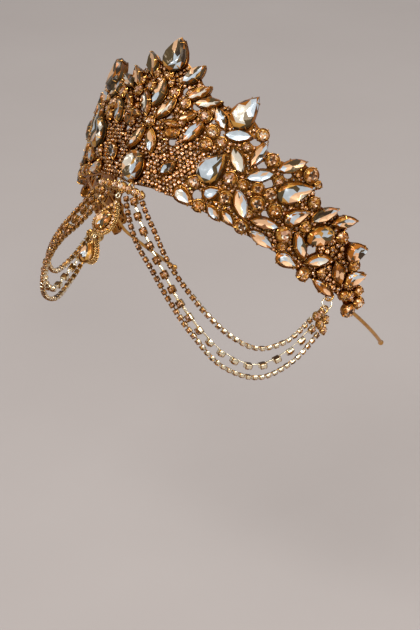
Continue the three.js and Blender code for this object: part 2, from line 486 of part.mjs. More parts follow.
// pendant: a ring, a pave teardrop with a stone, a link, and a lower drop with a stone
const UPPER_DROP = { long: 17.4, wide: 12.2, thick: 2.4, stone: { kind: 'oval', long: 10.2, wide: 7.6, down: 2.3, deep: 2.2 } };
const LOWER_DROP = { long: 12.2, wide: 9.2, thick: 3.6, stone: { kind: 'pear', long: 11.2, wide: 8.2, down: 0.2, deep: 2.4 } };
const upperPlane = plane(new THREE.Vector3(-0.5, -86.2, 54.6), new THREE.Vector3(0.134, 0.567, 0.813), new THREE.Vector3(0, -0.747, 0.665));
const lowerPlane = plane(new THREE.Vector3(-3.0, -95.4, 39.9), new THREE.Vector3(0.03, 0.453, 0.89), new THREE.Vector3(-0.04, -0.849, 0.526));
function dropPiece(name, drop, basis) {
  const upright = OUTLINES.pear(drop.long, drop.wide).map(([a, b]) => new THREE.Vector2(-b, a));
  place(addPiece(name, toGeometry(slab(upright, -drop.thick, 0)), gilt), basis);
  const levels = [{ z: 0, scale: 0.84 }, { z: drop.stone.deep * 0.42, scale: 1 }, { z: drop.stone.deep, scale: 0.58 }];
  const lie = new THREE.Matrix4().makeRotationZ(Math.PI / 2).setPosition(0, -drop.stone.down, SEAT_GAP);
  place(addPiece(`${name}_stone`, stack(OUTLINES[drop.stone.kind](drop.stone.long, drop.stone.wide), levels), champagne), basis.clone().multiply(lie));
}
dropPiece('pendant_upper', UPPER_DROP, upperPlane);
dropPiece('pendant_lower', LOWER_DROP, lowerPlane);
addPiece('pendant_bail', torus(1.1, 0.35, new THREE.Vector3(0.4, -79.5, 63.1), new THREE.Vector3(0, -0.74, 0.67), 10, 6), gilt);
addPiece('pendant_link', torus(0.8, 0.3, new THREE.Vector3(-2.1, -92.3, 46.2), new THREE.Vector3(-0.03, -0.8, 0.6), 10, 6), gilt);

// side rings and the little clusters of cups that gather the three strands
const CLUSTER_CUPS = [
  { name: 'top', x: 75.9, y: -23.0, z: 9.3, r: 2.1 }, { name: 'back', x: 76.4, y: -20.5, z: 5.6, r: 2.1 },
  { name: 'front', x: 75.6, y: -26.9, z: 9.3, r: 2.1 }, { name: 'middle', x: 76.1, y: -25.4, z: 4.9, r: 2.1 },
  { name: 'bottom', x: 76.7, y: -22.9, z: 1.3, r: 2.1 },
];
const CLUSTER_THICK = 2.4;
for (const [side, sign] of SIDES) {
  addPiece(`side_ring_${side}`, torus(RING.radius, RING.wire, mirrorX(RING_CENTRE, sign), mirrorX(
    SIDE_OUT.clone().addScaledVector(RING_TO_BAND, -SIDE_OUT.dot(RING_TO_BAND)), sign), 14, 6), gilt);
  const basis = plane(mirrorX(new THREE.Vector3(76.1, -23.4, 6.3), sign), mirrorX(RING_TO_CHAIN, sign).negate(), mirrorX(SIDE_OUT, sign));
  const back = basis.clone().invert();
  const flatCups = CLUSTER_CUPS.map((c) => ({ ...c, at: mirrorX(new THREE.Vector3(c.x, c.y, c.z), sign).applyMatrix4(back) }));
  const cups = flatCups.map((c) => slab(disc(c.at.x, c.at.y, c.r), -CLUSTER_THICK / 2, CLUSTER_THICK / 2));
  const links = [[0, 1], [0, 2], [2, 3], [3, 4], [1, 4], [0, 3]].map(([i, j]) => slab(bar(flatCups[i].at, flatCups[j].at, 1.5), -0.6, 0.6));
  const at = mirrorX(RING_CENTRE.clone().addScaledVector(RING_TO_CHAIN, LUG_REACH), sign).applyMatrix4(back);
  const across = mirrorX(new THREE.Vector3().crossVectors(SIDE_OUT, RING_TO_CHAIN), sign).transformDirection(back);
  const lug = toSolid(torus(LUG.radius, LUG.wire, at, across, 10, 5));
  place(addPiece(`chain_end_${side}`, toGeometry(unite([...cups, ...links, lug])), gilt), basis);
}
export default crown;
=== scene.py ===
# Looks of the bridal crown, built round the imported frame.
# Lengths in the tables are millimetres in the part's own frame: +Z up, the wearer
# faces -Y and the wearer's left is +X. They become metres when a mesh is made.
import bpy
import math
import random
import numpy as np
from mathutils import Matrix, Vector, kdtree


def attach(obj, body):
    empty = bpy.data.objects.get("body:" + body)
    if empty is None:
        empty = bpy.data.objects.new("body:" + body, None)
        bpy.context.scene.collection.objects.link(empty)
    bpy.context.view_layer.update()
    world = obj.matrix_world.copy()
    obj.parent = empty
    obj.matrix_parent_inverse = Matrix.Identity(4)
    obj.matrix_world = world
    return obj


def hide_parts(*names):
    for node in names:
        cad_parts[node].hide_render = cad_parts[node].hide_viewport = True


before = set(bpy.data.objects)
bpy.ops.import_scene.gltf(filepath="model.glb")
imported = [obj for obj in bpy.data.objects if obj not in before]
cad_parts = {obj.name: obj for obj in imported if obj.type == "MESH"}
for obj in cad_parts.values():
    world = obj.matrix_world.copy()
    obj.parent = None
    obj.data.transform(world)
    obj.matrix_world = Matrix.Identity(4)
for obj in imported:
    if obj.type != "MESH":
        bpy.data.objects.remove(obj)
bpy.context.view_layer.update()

MM = 0.001
rad = math.radians

# ------------------------------------------------------------------ camera
VIEW_AZIMUTH, VIEW_ELEVATION = 43.68, 23.51      # degrees round from the front, and up
VIEW_TARGET = (-6.15, -7.53)                     # right and up from the head form's centre
VIEW_DISTANCE = 1000.0
VIEW_LENS = 2026.1 / 630 * 36
HEAD_CENTRE = np.array([0.0, -9.45, -10.29])
HEAD_HALF = np.array([75.7, 96.1, 93.2])


def make_camera():
    a, e = rad(VIEW_AZIMUTH), rad(VIEW_ELEVATION)
    back = np.array([math.sin(a) * math.cos(e), -math.cos(a) * math.cos(e), math.sin(e)])
    right = np.array([math.cos(a), math.sin(a), 0.0])
    up = np.cross(back, right)
    at = HEAD_CENTRE + VIEW_TARGET[0] * right + VIEW_TARGET[1] * up + VIEW_DISTANCE * back
    cam = bpy.data.objects.new("camera", bpy.data.cameras.new("camera"))
    bpy.context.scene.collection.objects.link(cam)
    m = np.eye(4)
    m[:3, 0], m[:3, 1], m[:3, 2], m[:3, 3] = right, up, back, at * MM
    cam.matrix_world = Matrix(m.tolist())
    cam.data.sensor_width = 36
    cam.data.lens = VIEW_LENS
    cam.data.clip_start, cam.data.clip_end = 0.01, 50
    bpy.context.scene.camera = cam


make_camera()


# ------------------------------------------------------------------ tables
def table(columns, rows):
    names = columns.split()
    return [dict(zip(names, row)) for row in rows]


# The flared wall that every setting sits on.
BAND_HALF_WIDTH, BAND_HALF_LENGTH = 77.0, 96.6
BAND_TILT, WALL_FLARE = 42.3, 14.0
WIRE_END, WIRE_RADIUS, FOOT_RADIUS = 175.0, 0.9, 1.4
PLATE_HALF, SEAT_GAP = 0.7, 0.3
CREST_FROM, CREST_OVER, CREST_BACK = 34.0, 34.0, 3.6     # the crest is set back a little

# Facet tints: painted reflections. The light that each kind of facet gives back through the foiled glass is painted
# into its colour: the pale and warm tints are painted reflected light, the dark ones painted shade.
TINTS = {
    "W": (0.455, 0.50, 0.53),    # pale blue-white
    "C": (0.59, 0.52, 0.42),    # cream white
    "P": (0.68, 0.40, 0.22),    # peach
    "R": (0.50, 0.27, 0.17),    # pinkish champagne
    "G": (0.50, 0.25, 0.05),    # champagne gold
    "A": (0.30, 0.095, 0.008),  # amber
    "B": (0.13, 0.046, 0.010),  # brown
    "O": (0.082, 0.053, 0.022), # dark olive
    "K": (0.036, 0.022, 0.012), # nearly black
}

# Facets run anticlockwise from the stone's + end, seen from outside. look holds three
# words: the eight inner facets at the corners, the eight between them, and the eight
# of the sloping edge. A dot takes a tint at random from the edge mix.
# Each letter of a look paints the reflected light of its facet, bright or dark, as in TINTS.
LARGE = table("name kind along up long wide turn lift deep look", [
    ("peak_pear", "pear", 0, 65.2, 16.6, 12.6, 90, 0.6, 4.2, "PPOOOWKO POOOWWKO PAGOAWKK"),
    ("sunburst_top_navette", "navette", 0, 45.4, 13.4, 6.2, 90, 0.6, 2.6, "PPPWWWOO POOWWOOO GAAAGOOO"),
    ("front_oval", "oval", 0, 9.6, 14.6, 10.8, 90, 1.2, 3.6, "CCCOOWWG CCPOOWWO AGAPWWAO"),
])
LARGE_PAIRED = table("name kind along up long wide turn lift deep look", [
    ("top_navette_1", "navette", 10.9, 58.4, 13.2, 6.4, 56, 0, 2.8, "WOPOWWWW OPOWWOOW AAOAGOOO"),
    ("top_navette_2", "navette", 16.7, 51.3, 12.4, 5.4, 48, 0, 2.8, "CBGBCCCC AGAACAAA AABGAAAA"),
    ("top_navette_3", "navette", 21.8, 48.6, 13.6, 5.4, 25, 0, 2.8, "COAPPCCC BOBPACAO AABAGAAA"),
    ("top_navette_4", "navette", 29.1, 44.1, 11.6, 5.3, 137, 0, 2.8, "CWWWCOWW PPACCOOO AAPAAOOO"),
    ("crest_pear", "pear", 36.7, 52.4, 18.0, 12.0, 76, 0.4, 4.2, "WCCCCOWW WACCCOWW AAAAGOAW"),
    ("mid_navette_1", "navette", 21.0, 33.6, 13.0, 5.6, 65, 0, 2.8, "WWWWWWOA AWWAPAAA AAAAPAAA"),
    ("mid_navette_2", "navette", 38.2, 40.6, 13.4, 5.8, 22, 0, 2.8, "WWWWWWWW WWWWWWWW AAAPAAAA"),
    ("mid_navette_3", "navette", 42.2, 30.6, 13.0, 6.2, 136, 0, 2.8, "CCCCCCCC CPPCCCCO AAPPACAA"),
    ("mid_navette_4", "navette", 48.8, 37.4, 13.6, 5.4, 82, 0, 2.8, "WPPPPOKW APOPAWOW WAAAAAWW"),
    ("mid_navette_5", "navette", 53.2, 29.2, 14.0, 5.6, 38, 0, 2.8, "WPWWWWWW WWPWWWWW AAAAAOOO"),
    ("mid_pear", "pear", 34.5, 23.0, 17.0, 11.4, 69, 0.4, 4.0, "WWWWWWOO OWWWWOWO GOCCGGOG"),
    ("low_navette_1", "navette", 51.8, 13.8, 14.4, 6.6, 131, 0, 2.8, "BPPPPWWP PPPPWWWW WAAAAWWW"),
    ("low_navette_2", "navette", 64.9, 11.6, 14.0, 5.2, 16, 0, 2.8, "WPPPPPBP WWPPBBBW AAAAAAOA"),
    ("low_navette_3", "navette", 67.0, 4.6, 14.0, 5.4, -5, 0, 2.8, "WWPPPPPP WWWWAPPA WOWWWAAA"),
    ("wing_navette_1", "navette", 62.5, 40.3, 14.4, 6.2, 45, 0, 2.8, "WOOPWPOP POOWWOOP AAAAWAAA"),
    ("wing_pear", "pear", 69.4, 31.2, 18.0, 10.0, 45, 0.4, 3.8, "WWOWWPPP WWOWWPOP WAAAOAAA"),
    ("wing_navette_2", "navette", 85.5, 29.4, 14.4, 5.6, 55, 0, 2.8, "WKKOCPPP WOKKCPPP WAOOAAAA"),
    ("wing_oval", "oval", 89.3, 20.3, 13.6, 9.6, 50, 0.4, 3.6, "WWGWPPPO GWGOOABO GGAAABBO"),
])
# Stones of the wearer's right whose look isn't that of their pair.
RIGHT_LOOKS = table("name look", [
    ("top_navette_1", "POOOAPPP OOOOAPPP GOOOAOAO"),
    ("crest_pear", "OOPOOKKO OPPOOKKO OPPOKKKO"),
])
# The smaller stones of the soldered wall.
SET_MIDLINE = table("kind along up long wide turn look", [
    ("round", 0, 31.4, 5.0, 5.0, 0, "pink"),
    ("round", 0, 54.6, 4.2, 4.2, 0, "gold"),
])
SET_PAIRED = table("kind along up long wide turn look", [
    ("navette", 5.4, 39.4, 13.0, 5.6, 62, "CAPPCCCC OOPPAOBO ABBAAOAO"),
    ("navette", 3.9, 22.9, 12.2, 5.4, -70, "WWPPPPOW WOPPPOOW AAAGAAAA"),
    ("navette", 16.0, 38.9, 9.6, 4.0, 41, "AABPPPAO ABAPPAAO AAAAGAAA"),
    ("navette", 10.6, 33.6, 10.0, 4.0, 6, "AGABAPAB BAGABAAB AABAAAAA"),
    ("oval", 11.9, 29.6, 8.0, 4.8, 16, "BAGABAAB ABAAGABA AAAABAAA"),
    ("navette", 16.3, 14.1, 9.0, 5.2, 58, "KKWWWOKK KOWWWOKK AAAAAAOO"),
    ("pear", 28.3, 5.0, 11.4, 6.6, -19, "WWWCCCCC WWWCCCCC AAAAAAAA"),
    ("pear", 38.9, 12.4, 9.6, 6.0, 43, "WWWWWWWW WWWWWWWO AAAAAAAO"),
    ("navette", 43.1, 4.6, 9.2, 4.4, -27, "WPPWWWWW OPPWWWWO APAAAAAA"),
    ("navette", 49.6, 5.6, 9.0, 4.4, -24, "WWWWAPPP WWWOAPPA AAAAAAPA"),
    ("pear", 83.0, 2.4, 11.6, 6.4, 2, "WCCWWPPP WWCWWPPO AAWWAAAA"),
    ("navette", 105.8, 1.6, 15.0, 4.6, -5, "PPABWAAP PBBWAAAP AABWAAAA"),
    ("pear", 75.9, 21.9, 13.0, 6.4, 51, "PBWWWPPP POWWWPPP PWWWOAAA"),
    ("navette", 95.3, 31.9, 13.4, 5.6, 35, "WWWOWPOP WWOOWPOP AAAAAAAA"),
    ("navette", 84.0, 11.6, 13.4, 6.0, 140, "WWWCPPOW WWWPPOOW AAAAAAAA"),
    ("navette", 95.4, 10.6, 12.6, 5.6, 41, "CWWWWPCC CWWWPPCC AAAAAPAA"),
    ("navette", 108.7, 11.2, 13.0, 6.0, 147, "BPPBAPPB APBAAPBA ABAAABAA"),
    ("pear", 109.4, 24.4, 11.6, 9.6, 43, "WOWWPPKK WWKWAPKW GAAAAAOO"),
    ("pear", 118.4, 14.4, 12.0, 7.4, 46, "WWWWOPPP WWWWAPPP AAWWAAAA"),
])
SET_ROUNDS = table("along up size look", [
    (22.9, 42.4, 5.6, "pink"), (28.2, 37.0, 5.6, "pink"), (27.9, 30.8, 5.6, "gold"),
    (33.2, 34.4, 5.0, "pink"), (43.1, 37.8, 4.0, "pink"), (46.4, 46.0, 6.0, "pale"),
    (54.6, 38.0, 6.4, "dark"), (42.8, 21.6, 6.6, "pink"), (30.0, 13.2, 5.8, "pink"),
    (48.8, 21.8, 4.8, "gold"), (54.9, 23.6, 5.6, "dark"), (61.2, 24.0, 6.2, "dark"),
    (57.9, 17.6, 6.6, "dark"), (44.9, 12.9, 6.2, "dark"), (65.9, 19.0, 6.2, "gold"),
    (61.0, 31.4, 4.6, "pink"), (36.0, 4.4, 5.6, "gold"), (56.8, 5.2, 6.4, "dark"),
    (93.6, 1.6, 6.4, "gold"), (71.3, 41.2, 7.2, "dark"), (78.8, 31.4, 5.6, "gold"),
    (81.6, 19.8, 5.6, "gold"), (74.7, 11.8, 7.2, "pink"), (98.8, 25.6, 5.8, "gold"),
    (113.5, 18.4, 5.6, "gold"), (100.6, 7.0, 4.4, "gold"), (122.4, 6.4, 4.4, "pink"),
    (124.6, 10.6, 4.4, "gold"), (129.6, 6.4, 5.6, "pale"), (118.6, 4.6, 4.4, "gold"),
    (127.2, 0.6, 6.8, "dark"), (12.6, 44.4, 5.2, "pink"), (6.2, 47.6, 4.8, "pink"),
    (12.9, 49.6, 3.9, "gold"), (6.7, 54.2, 3.9, "gold"), (2.8, 51.4, 3.4, "pink"),
    (14.6, 35.6, 3.4, "pink"), (24.7, 46.2, 3.4, "gold"), (76.0, 39.0, 3.4, "gold"),
    (56.8, 11.3, 3.9, "gold"), (77.1, 6.6, 4.2, "gold"), (116.3, 9.6, 3.0, "gold"),
])
# Places left open between the settings, where what is behind shows through.
GAPS = table("along up size", [
    (13.0, 26.2, 2.6), (10.0, 49.9, 2.2), (17.1, 45.4, 3.0), (7.6, 35.9, 2.2), (25.3, 42.7, 3.4),
    (31.2, 38.4, 3.0), (44.8, 42.6, 4.2), (52.1, 33.6, 3.2), (57.8, 27.8, 3.2), (33.2, 8.5, 3.2),
    (51.0, 26.4, 2.4), (63.8, 15.2, 3.0), (90.6, 13.0, 4.2), (63.0, 36.0, 2.4),
])
PAVE_FIELD = [(0, 1.4), (13, 3.0), (24, 4.8), (31, 8), (33, 14), (33, 26), (24, 31), (12, 31), (5, 27), (0, 24)]
CREST_FIELD = [(0, 47.5), (6.5, 42), (15, 40), (19, 45), (12.5, 50), (8, 57), (0, 59.5)]

# Facet mixes: how often each tint of painted reflected light and shade comes up on the small stones and on edge facets.
MIXES = {
    "edge": "AAAABBOGAP",
    "rim": "OABOAKGO",
    "pink": "RRRRPCGBAR",
    "gold": "GGPAABRGAC",
    "dark": "BBKKOAGPBA",
    "pale": "CCWRGPRWOG",
    "pave": "AGGPPRBCAPKG",
    "chain": "BKAAPABKBRAG",
}
rng = random.Random(11)

# ------------------------------------------------------------------ the wall surface
DOWN_BACK = np.array([0, math.cos(rad(BAND_TILT)), -math.sin(rad(BAND_TILT))])
UP_NORMAL = np.array([0, math.sin(rad(BAND_TILT)), math.cos(rad(BAND_TILT))])
_angles = np.linspace(0, math.pi, 3601)
_mids = (_angles[:-1] + _angles[1:]) / 2
_arc = np.concatenate([[0], np.cumsum(np.hypot(BAND_HALF_WIDTH * np.cos(_mids), BAND_HALF_LENGTH * np.sin(_mids)) * math.pi / 3600)])


def ease(t):
    t = min(1.0, max(0.0, t))
    return t * t * (3 - 2 * t)


def wall_point(along, up, out):
    a = math.copysign(np.interp(abs(along), _arc, _angles), along)
    tx, tb = BAND_HALF_WIDTH * math.cos(a), BAND_HALF_LENGTH * math.sin(a)
    size = math.hypot(tx, tb)
    nx, nb = tb / size, -tx / size
    lean = up * math.sin(rad(WALL_FLARE)) + out * math.cos(rad(WALL_FLARE)) - CREST_BACK * ease((up - CREST_FROM) / CREST_OVER)
    rise = up * math.cos(rad(WALL_FLARE)) - out * math.sin(rad(WALL_FLARE))
    return (np.array([BAND_HALF_WIDTH * math.sin(a) + nx * lean, 0, 0])
            + DOWN_BACK * (-BAND_HALF_LENGTH * math.cos(a) + nb * lean) + UP_NORMAL * rise)


def unit(v):
    return v / np.linalg.norm(v)


def basis(x, y, z, at):
    m = np.eye(4)
    m[:3, 0], m[:3, 1], m[:3, 2], m[:3, 3] = x, y, z, at
    return m


def wall_frame(along, up, out, turn=0.0, tilt=(0.0, 0.0)):
    """Axes at a place on the wall: x along the stone's long axis, z outwards. tilt leans it, in degrees."""
    e = 0.05
    t = unit(wall_point(along + e, up, out) - wall_point(along - e, up, out))
    v = wall_point(along, up + e, out) - wall_point(along, up - e, out)
    n = unit(np.cross(t, v))
    v = np.cross(n, t)
    m = basis(t, v, n, wall_point(along, up, out))
    return m @ spin("z", turn) @ spin("x", tilt[0]) @ spin("y", tilt[1])


def stretch(along, up):
    return np.linalg.norm(wall_point(along + 0.05, up, 0) - wall_point(along - 0.05, up, 0)) * 10


def spin(axis, degrees):
    return np.array(Matrix.Rotation(rad(degrees), 4, axis.upper()))


def shift(x, y, z):
    m = np.eye(4)
    m[:3, 3] = (x, y, z)
    return m


def place(centre, up, out):
    n = unit(np.array(out, float))
    v = np.array(up, float)
    v = unit(v - n * (v @ n))
    return basis(np.cross(v, n), v, n, np.array(centre, float))


def mirror_x(m):
    """The same frame on the other side of the middle plane, kept right-handed."""
    k = np.diag([-1.0, 1, 1, 1]) @ m
    k[:3, 0] *= -1
    return k


# ------------------------------------------------------------------ shapes
class Shape:
    """Points, faces, a tint letter a face (or none) and a level a point for the metal's colour: 0 deep and dark, partly
    patina and partly painted shade, 1 bright, partly worn gilt and partly painted light.
    """

    def __init__(self, points, faces, tints=None, wear=1.0, smooth=False):
        self.points = np.array(points, float).reshape(-1, 3)
        self.faces = [tuple(f) for f in faces]
        self.tints = list(tints) if tints is not None else None
        self.wear = np.broadcast_to(np.array(wear, float), (len(self.points),)).copy()
        self.smooth = smooth

    def outward(self):
        p, volume = self.points, 0.0
        for f in self.faces:
            for i in range(1, len(f) - 1):
                volume += p[f[0]] @ np.cross(p[f[i]], p[f[i + 1]])
        if volume < 0:
            self.faces = [f[::-1] for f in self.faces]
        return self


def join(shapes):
    points, faces, tints, wear, n = [], [], [], [], 0
    for s in shapes:
        points.append(s.points)
        faces += [tuple(i + n for i in f) for f in s.faces]
        tints += s.tints if s.tints is not None else ["G"] * len(s.faces)
        wear.append(s.wear)
        n += len(s.points)
    return Shape(np.concatenate(points), faces, tints, np.concatenate(wear), shapes[0].smooth)


def loft(rings, wear_and_shade_levels, around=False, smooth=True):
    """A closed body through rings of as many points each. around joins the last ring to the first, as a torus."""
    n = len(rings[0])
    points = np.concatenate(rings)
    wear = np.repeat(np.array(wear_and_shade_levels, float), n)
    faces = []
    for r in range(len(rings) - (0 if around else 1)):
        a, b = r * n, ((r + 1) % len(rings)) * n
        faces += [(a + i, a + (i + 1) % n, b + (i + 1) % n, b + i) for i in range(n)]
    if not around:
        faces.append(tuple(range(n))[::-1])
        faces.append(tuple((len(rings) - 1) * n + i for i in range(n)))
    return Shape(points, faces, None, wear, smooth).outward()


def outline(kind, count):
    """Unit outline, anticlockwise from the + end: half size 1 each way."""
    pts = []
    for k in range(count):
        t = 2 * math.pi * k / count
        x, s = math.cos(t), math.sin(t)
        if kind == "navette":
            y = math.copysign(abs(s) ** 1.72, s)
        elif kind == "pear":
            half = t if t <= math.pi else 2 * math.pi - t
            y = math.copysign(math.sin(half) * math.sin(half / 2) / 0.7698, s) if abs(s) > 1e-9 else 0.0
        else:
            y = s
        pts.append((x, y))
    return np.array(pts)


def ring_at(kind, count, long, wide, scale=1.0, grow=0.0, z=0.0):
    p = outline(kind, count) * (long / 2, wide / 2)
    before, after = np.roll(p, 1, 0), np.roll(p, -1, 0)
    d = after - before
    normal = np.stack([d[:, 1], -d[:, 0]], 1)
    normal /= np.linalg.norm(normal, axis=1)[:, None]
    q = p * scale + normal * grow
    return np.column_stack([q, np.full(count, z)])


def pick(mix):
    return rng.choice(MIXES[mix])


def read_look(look, mix):
    """The three words of a look as lists of tint letters; a mix's name gives random letters."""
    if look in MIXES:
        return [[pick(look) for _ in range(8)] for _ in range(3)]
    return [[pick(mix) if c == "." else c for c in word] for word in look.split()]


def mirrored_look(look):
    """The look of the matching stone on the other side. Light falls otherwise there, so some facets trade tints."""
    if look in MIXES:
        return look
    trade = {"W": "P", "P": "O", "C": "P", "G": "O", "A": "O"}
    words = []
    for w, word in enumerate(look.split()):
        flipped = [word[(8 - k) % 8] for k in range(8)] if w != 1 else [word[7 - k] for k in range(8)]
        words.append("".join(trade.get(c, c) if rng.random() < 0.5 else c for c in flipped))
    return " ".join(words)


def gem(kind, long, wide, crown, under, table, look, mix="edge", count=16, dip=0.10, sides="G", foot=0.62):
    """A faceted stone, girdle at z 0: a brilliant edge of triangles and kites, and inside the table the
    foiled facets beneath it, which meet on a low keel or point. Closed below by a plain pavilion."""
    n, m = count, count // 2
    inner, between, edge = read_look(look, mix)
    at8 = lambda word, k: word[(k * 8) // m % 8]
    low = ring_at(kind, n, long, wide, 0.985, 0, -0.14)
    girdle = ring_at(kind, n, long, wide, 1.0, 0, 0.05)
    mid = ring_at(kind, n, long, wide, (1 + table) / 2 * 1.035, 0, crown * 0.56)[1::2]
    top = ring_at(kind, n, long, wide, table, 0, crown)[0::2]
    sink = dip * wide
    shoulder = ring_at(kind, n, long, wide, table * 0.56, 0, crown - sink * 0.55)[1::2]
    bottom = ring_at(kind, n, long, wide, foot, 0, -under)
    reach = {"navette": 0.42, "pear": 0.16, "oval": 0.22}.get(kind, 0.0) * long / 2 * table
    keel = np.array([[reach, 0, crown - sink], [0, 0, crown - sink], [-reach, 0, crown - sink]])
    points = np.concatenate([low, girdle, mid, top, shoulder, bottom, keel])
    L, G, Q, T, S, B, K = 0, n, 2 * n, 2 * n + m, 2 * n + 2 * m, 2 * n + 3 * m, 3 * n + 3 * m
    faces, tints = [], []

    def face(tint, *corners):
        faces.append(corners)
        tints.append(tint)

    below = [rng.choice(sides) for _ in range(m)]
    half = m // 2
    for k in range(m):
        odd, even, nxt = 2 * k + 1, 2 * k, (2 * k + 2) % n
        prev = (k - 1) % m
        face(pick(mix), G + even, G + odd, Q + k)
        face(pick(mix), G + odd, G + nxt, Q + k)
        face(at8(edge, k), G + even, Q + k, T + k, Q + prev)
        face(pick(mix), Q + k, T + (k + 1) % m, T + k)
        face(at8(between, k), T + k, T + (k + 1) % m, S + k)
        if reach:
            side = 0 if k in (0, 1, m - 1) else (2 if abs(k - half) <= 1 else 1)
            corners = [T + k, S + k]
            if k in (1, half - 1):
                corners += [K + 1, K] if k == 1 else [K + 2, K + 1]
            elif k in (half + 1, m - 1):
                corners += [K + 1, K + 2] if k == half + 1 else [K, K + 1]
            else:
                corners += [K + side]
            face(at8(inner, k), *corners, S + prev)
        else:
            face(at8(inner, k), T + k, S + k, K + 1, S + prev)
    for i in range(n):
        j = (i + 1) % n
        face("A", L + i, L + j, G + j, G + i)
        face(below[i // 2], B + i, B + j, L + j, L + i)
    face("G", *[B + i for i in range(n)][::-1])
    # only the points that are used, so that no loose ones are left
    used = sorted({i for f in faces for i in f})
    new = {old: i for i, old in enumerate(used)}
    return Shape(points[used], [tuple(new[i] for i in f) for f in faces], tints, 1.0, False).outward()


def cup(kind, long, wide, base, lip=0.32, wall=0.36, count=20, hole=0.46, taper=0.82):
    """The metal cup that holds a stone: a wall that widens to a rim just outside the stone, and a floor with an opening."""
    r = lambda scale, grow, z: ring_at(kind, count, long, wide, scale, grow, z)
    floor = min(0.5, -base * 0.2)
    rings = [r(taper, wall, base), r((1 + taper) / 2, wall + 0.06, base * 0.5), r(1, wall + 0.05, -0.1), r(1, wall, lip * 0.8),
             r(1, wall * 0.5, lip), r(1, 0.03, lip * 0.55), r(1, 0.03, -0.25), r(taper, 0.03, base + floor),
             r(hole, 0, base + floor), r(hole, 0, base)]
    # The inside and the floor under the stone are painted dark as shade; the lip is painted lighter, partly worn gilt
    # and partly painted light.
    return loft(rings, [0.32, 0.2, 0.32, 0.42, 0.52, 0.4, 0.1, 0.05, 0.2, 0.4], around=True)


def basket(kind, long, wide, base, under, foot, wall=0.2, count=20, hole=0.46):
    """A low cup round the lower part of a deep stone. The upper part of the stone's side stays free."""
    r = lambda scale, grow, z: ring_at(kind, count, long, wide, scale, grow, z)
    side = lambda z: 0.985 - (0.985 - foot) * (-z - 0.14) / (under - 0.14)
    top, middle, floor = -0.60 * under, -0.80 * under, -under - 0.12
    rings = [r(foot, wall, base), r(side(middle), wall + 0.05, middle), r(side(top), wall + 0.02, top - 0.1), r(side(top), wall * 0.6, top),
             r(side(top), 0.03, top - 0.08), r(side(middle), 0.03, middle), r(foot, 0.03, floor), r(hole, 0, floor), r(hole, 0, base)]
    # The inside under the stone is painted dark as shade; the top edge is lighter, partly worn gilt and partly painted
    # light.
    return loft(rings, [0.25, 0.2, 0.3, 0.5, 0.3, 0.1, 0.05, 0.2, 0.3], around=True)


def tube(path, radius, sides=8, wear=0.8, round_ends=True):
    """A round bar along a path. radius is a number, or one for each point."""
    path = np.array(path, float)
    radii = np.broadcast_to(np.array(radius, float), (len(path),))
    tangents = np.gradient(path, axis=0)
    tangents /= np.linalg.norm(tangents, axis=1)[:, None]
    side = np.cross(tangents[0], (0, 0, 1) if abs(tangents[0][2]) < 0.9 else (1, 0, 0))
    rings, wear_and_shade_levels = [], []
    angles = 2 * math.pi * np.arange(sides) / sides
    for i, (p, t) in enumerate(zip(path, tangents)):
        side = unit(side - t * (side @ t))
        other = np.cross(t, side)
        circle = np.outer(np.cos(angles), side) + np.outer(np.sin(angles), other)
        if i == 0 and round_ends:
            rings += [p - t * radii[0] * 0.8 + circle * radii[0] * 0.45, p - t * radii[0] * 0.35 + circle * radii[0] * 0.85]
        rings.append(p + circle * radii[i])
        if i == len(path) - 1 and round_ends:
            rings += [p + t * radii[-1] * 0.35 + circle * radii[-1] * 0.85, p + t * radii[-1] * 0.8 + circle * radii[-1] * 0.45]
    return loft(rings, [wear] * len(rings))


def torus(radius, wire, around=32, section=10, open_angle=0.0, wear=0.85):
    """A ring of wire. open_angle leaves it cut, as an open jump ring is."""
    if open_angle:
        turns = np.linspace(rad(open_angle / 2), 2 * math.pi - rad(open_angle / 2), around)
        return tube([(radius * math.cos(t), radius * math.sin(t), 0) for t in turns], wire, section, wear)
    rings = []
    for k in range(around):
        t = 2 * math.pi * k / around
        rings.append(np.array([((radius + wire * math.cos(s)) * math.cos(t), (radius + wire * math.cos(s)) * math.sin(t), wire * math.sin(s))
                               for s in 2 * math.pi * np.arange(section) / section]))
    return loft(rings, [wear] * around, around=True)


def claw(kind, long, wide, at, crown, table, base, thick, reach, taper=0.82, count=64, off=0.42):
    """One claw: up the outside of the cup at fraction at of the outline, then bent over the stone's edge."""
    p = outline(kind, count) * (long / 2, wide / 2)
    i = int(round(at * count)) % count
    d = p[(i + 1) % count] - p[(i - 1) % count]
    normal = unit(np.array([d[1], -d[0]])) if np.linalg.norm(d) > 1e-9 else unit(p[i])
    if kind in ("navette", "pear") and i == 0:
        normal = np.array([1.0, 0.0])
    if kind == "navette" and i == count // 2:
        normal = np.array([-1.0, 0.0])
    inward = unit(-p[i]) if i in (0, count // 2) else -normal
    slope = crown / max(0.4, (1 - table) * wide / 2)
    stations = [(off * 0.7, base * 0.8), (off, -0.6), (off, 0.0), (off * 0.5, 0.42),
                (-reach * 0.45, reach * 0.45 * slope + 0.20), (-reach, min(crown, reach * slope) + 0.10)]
    path = []
    for out, z in stations:
        narrow = 1 - (1 - taper) * min(1.0, max(0.0, z / base))
        q = p[i] * narrow + (normal * out if out > 0 else inward * -out)
        path.append((q[0], q[1], z))
    radii = np.array([0.9, 1.0, 1.05, 1.0, 0.9, 0.72]) * thick
    made = tube(path, radii, 6, 1.0)
    z = made.points[:, 2]
    # Painted shade: dark low down by the sheet, lighter up to the tip, which is partly worn gilt and partly painted
    # light.
    made.wear = np.clip(0.1 + (z - base) / (crown - base) * 0.75, 0, 0.85)
    return made


CLAWS = {
    "navette": (0.0, 0.25, 0.5, 0.75),
    "pear": (0.13, 0.37, 0.63, 0.87),
    "oval": (0.12, 0.38, 0.62, 0.88),
    "round": (0.125, 0.375, 0.625, 0.875),
}


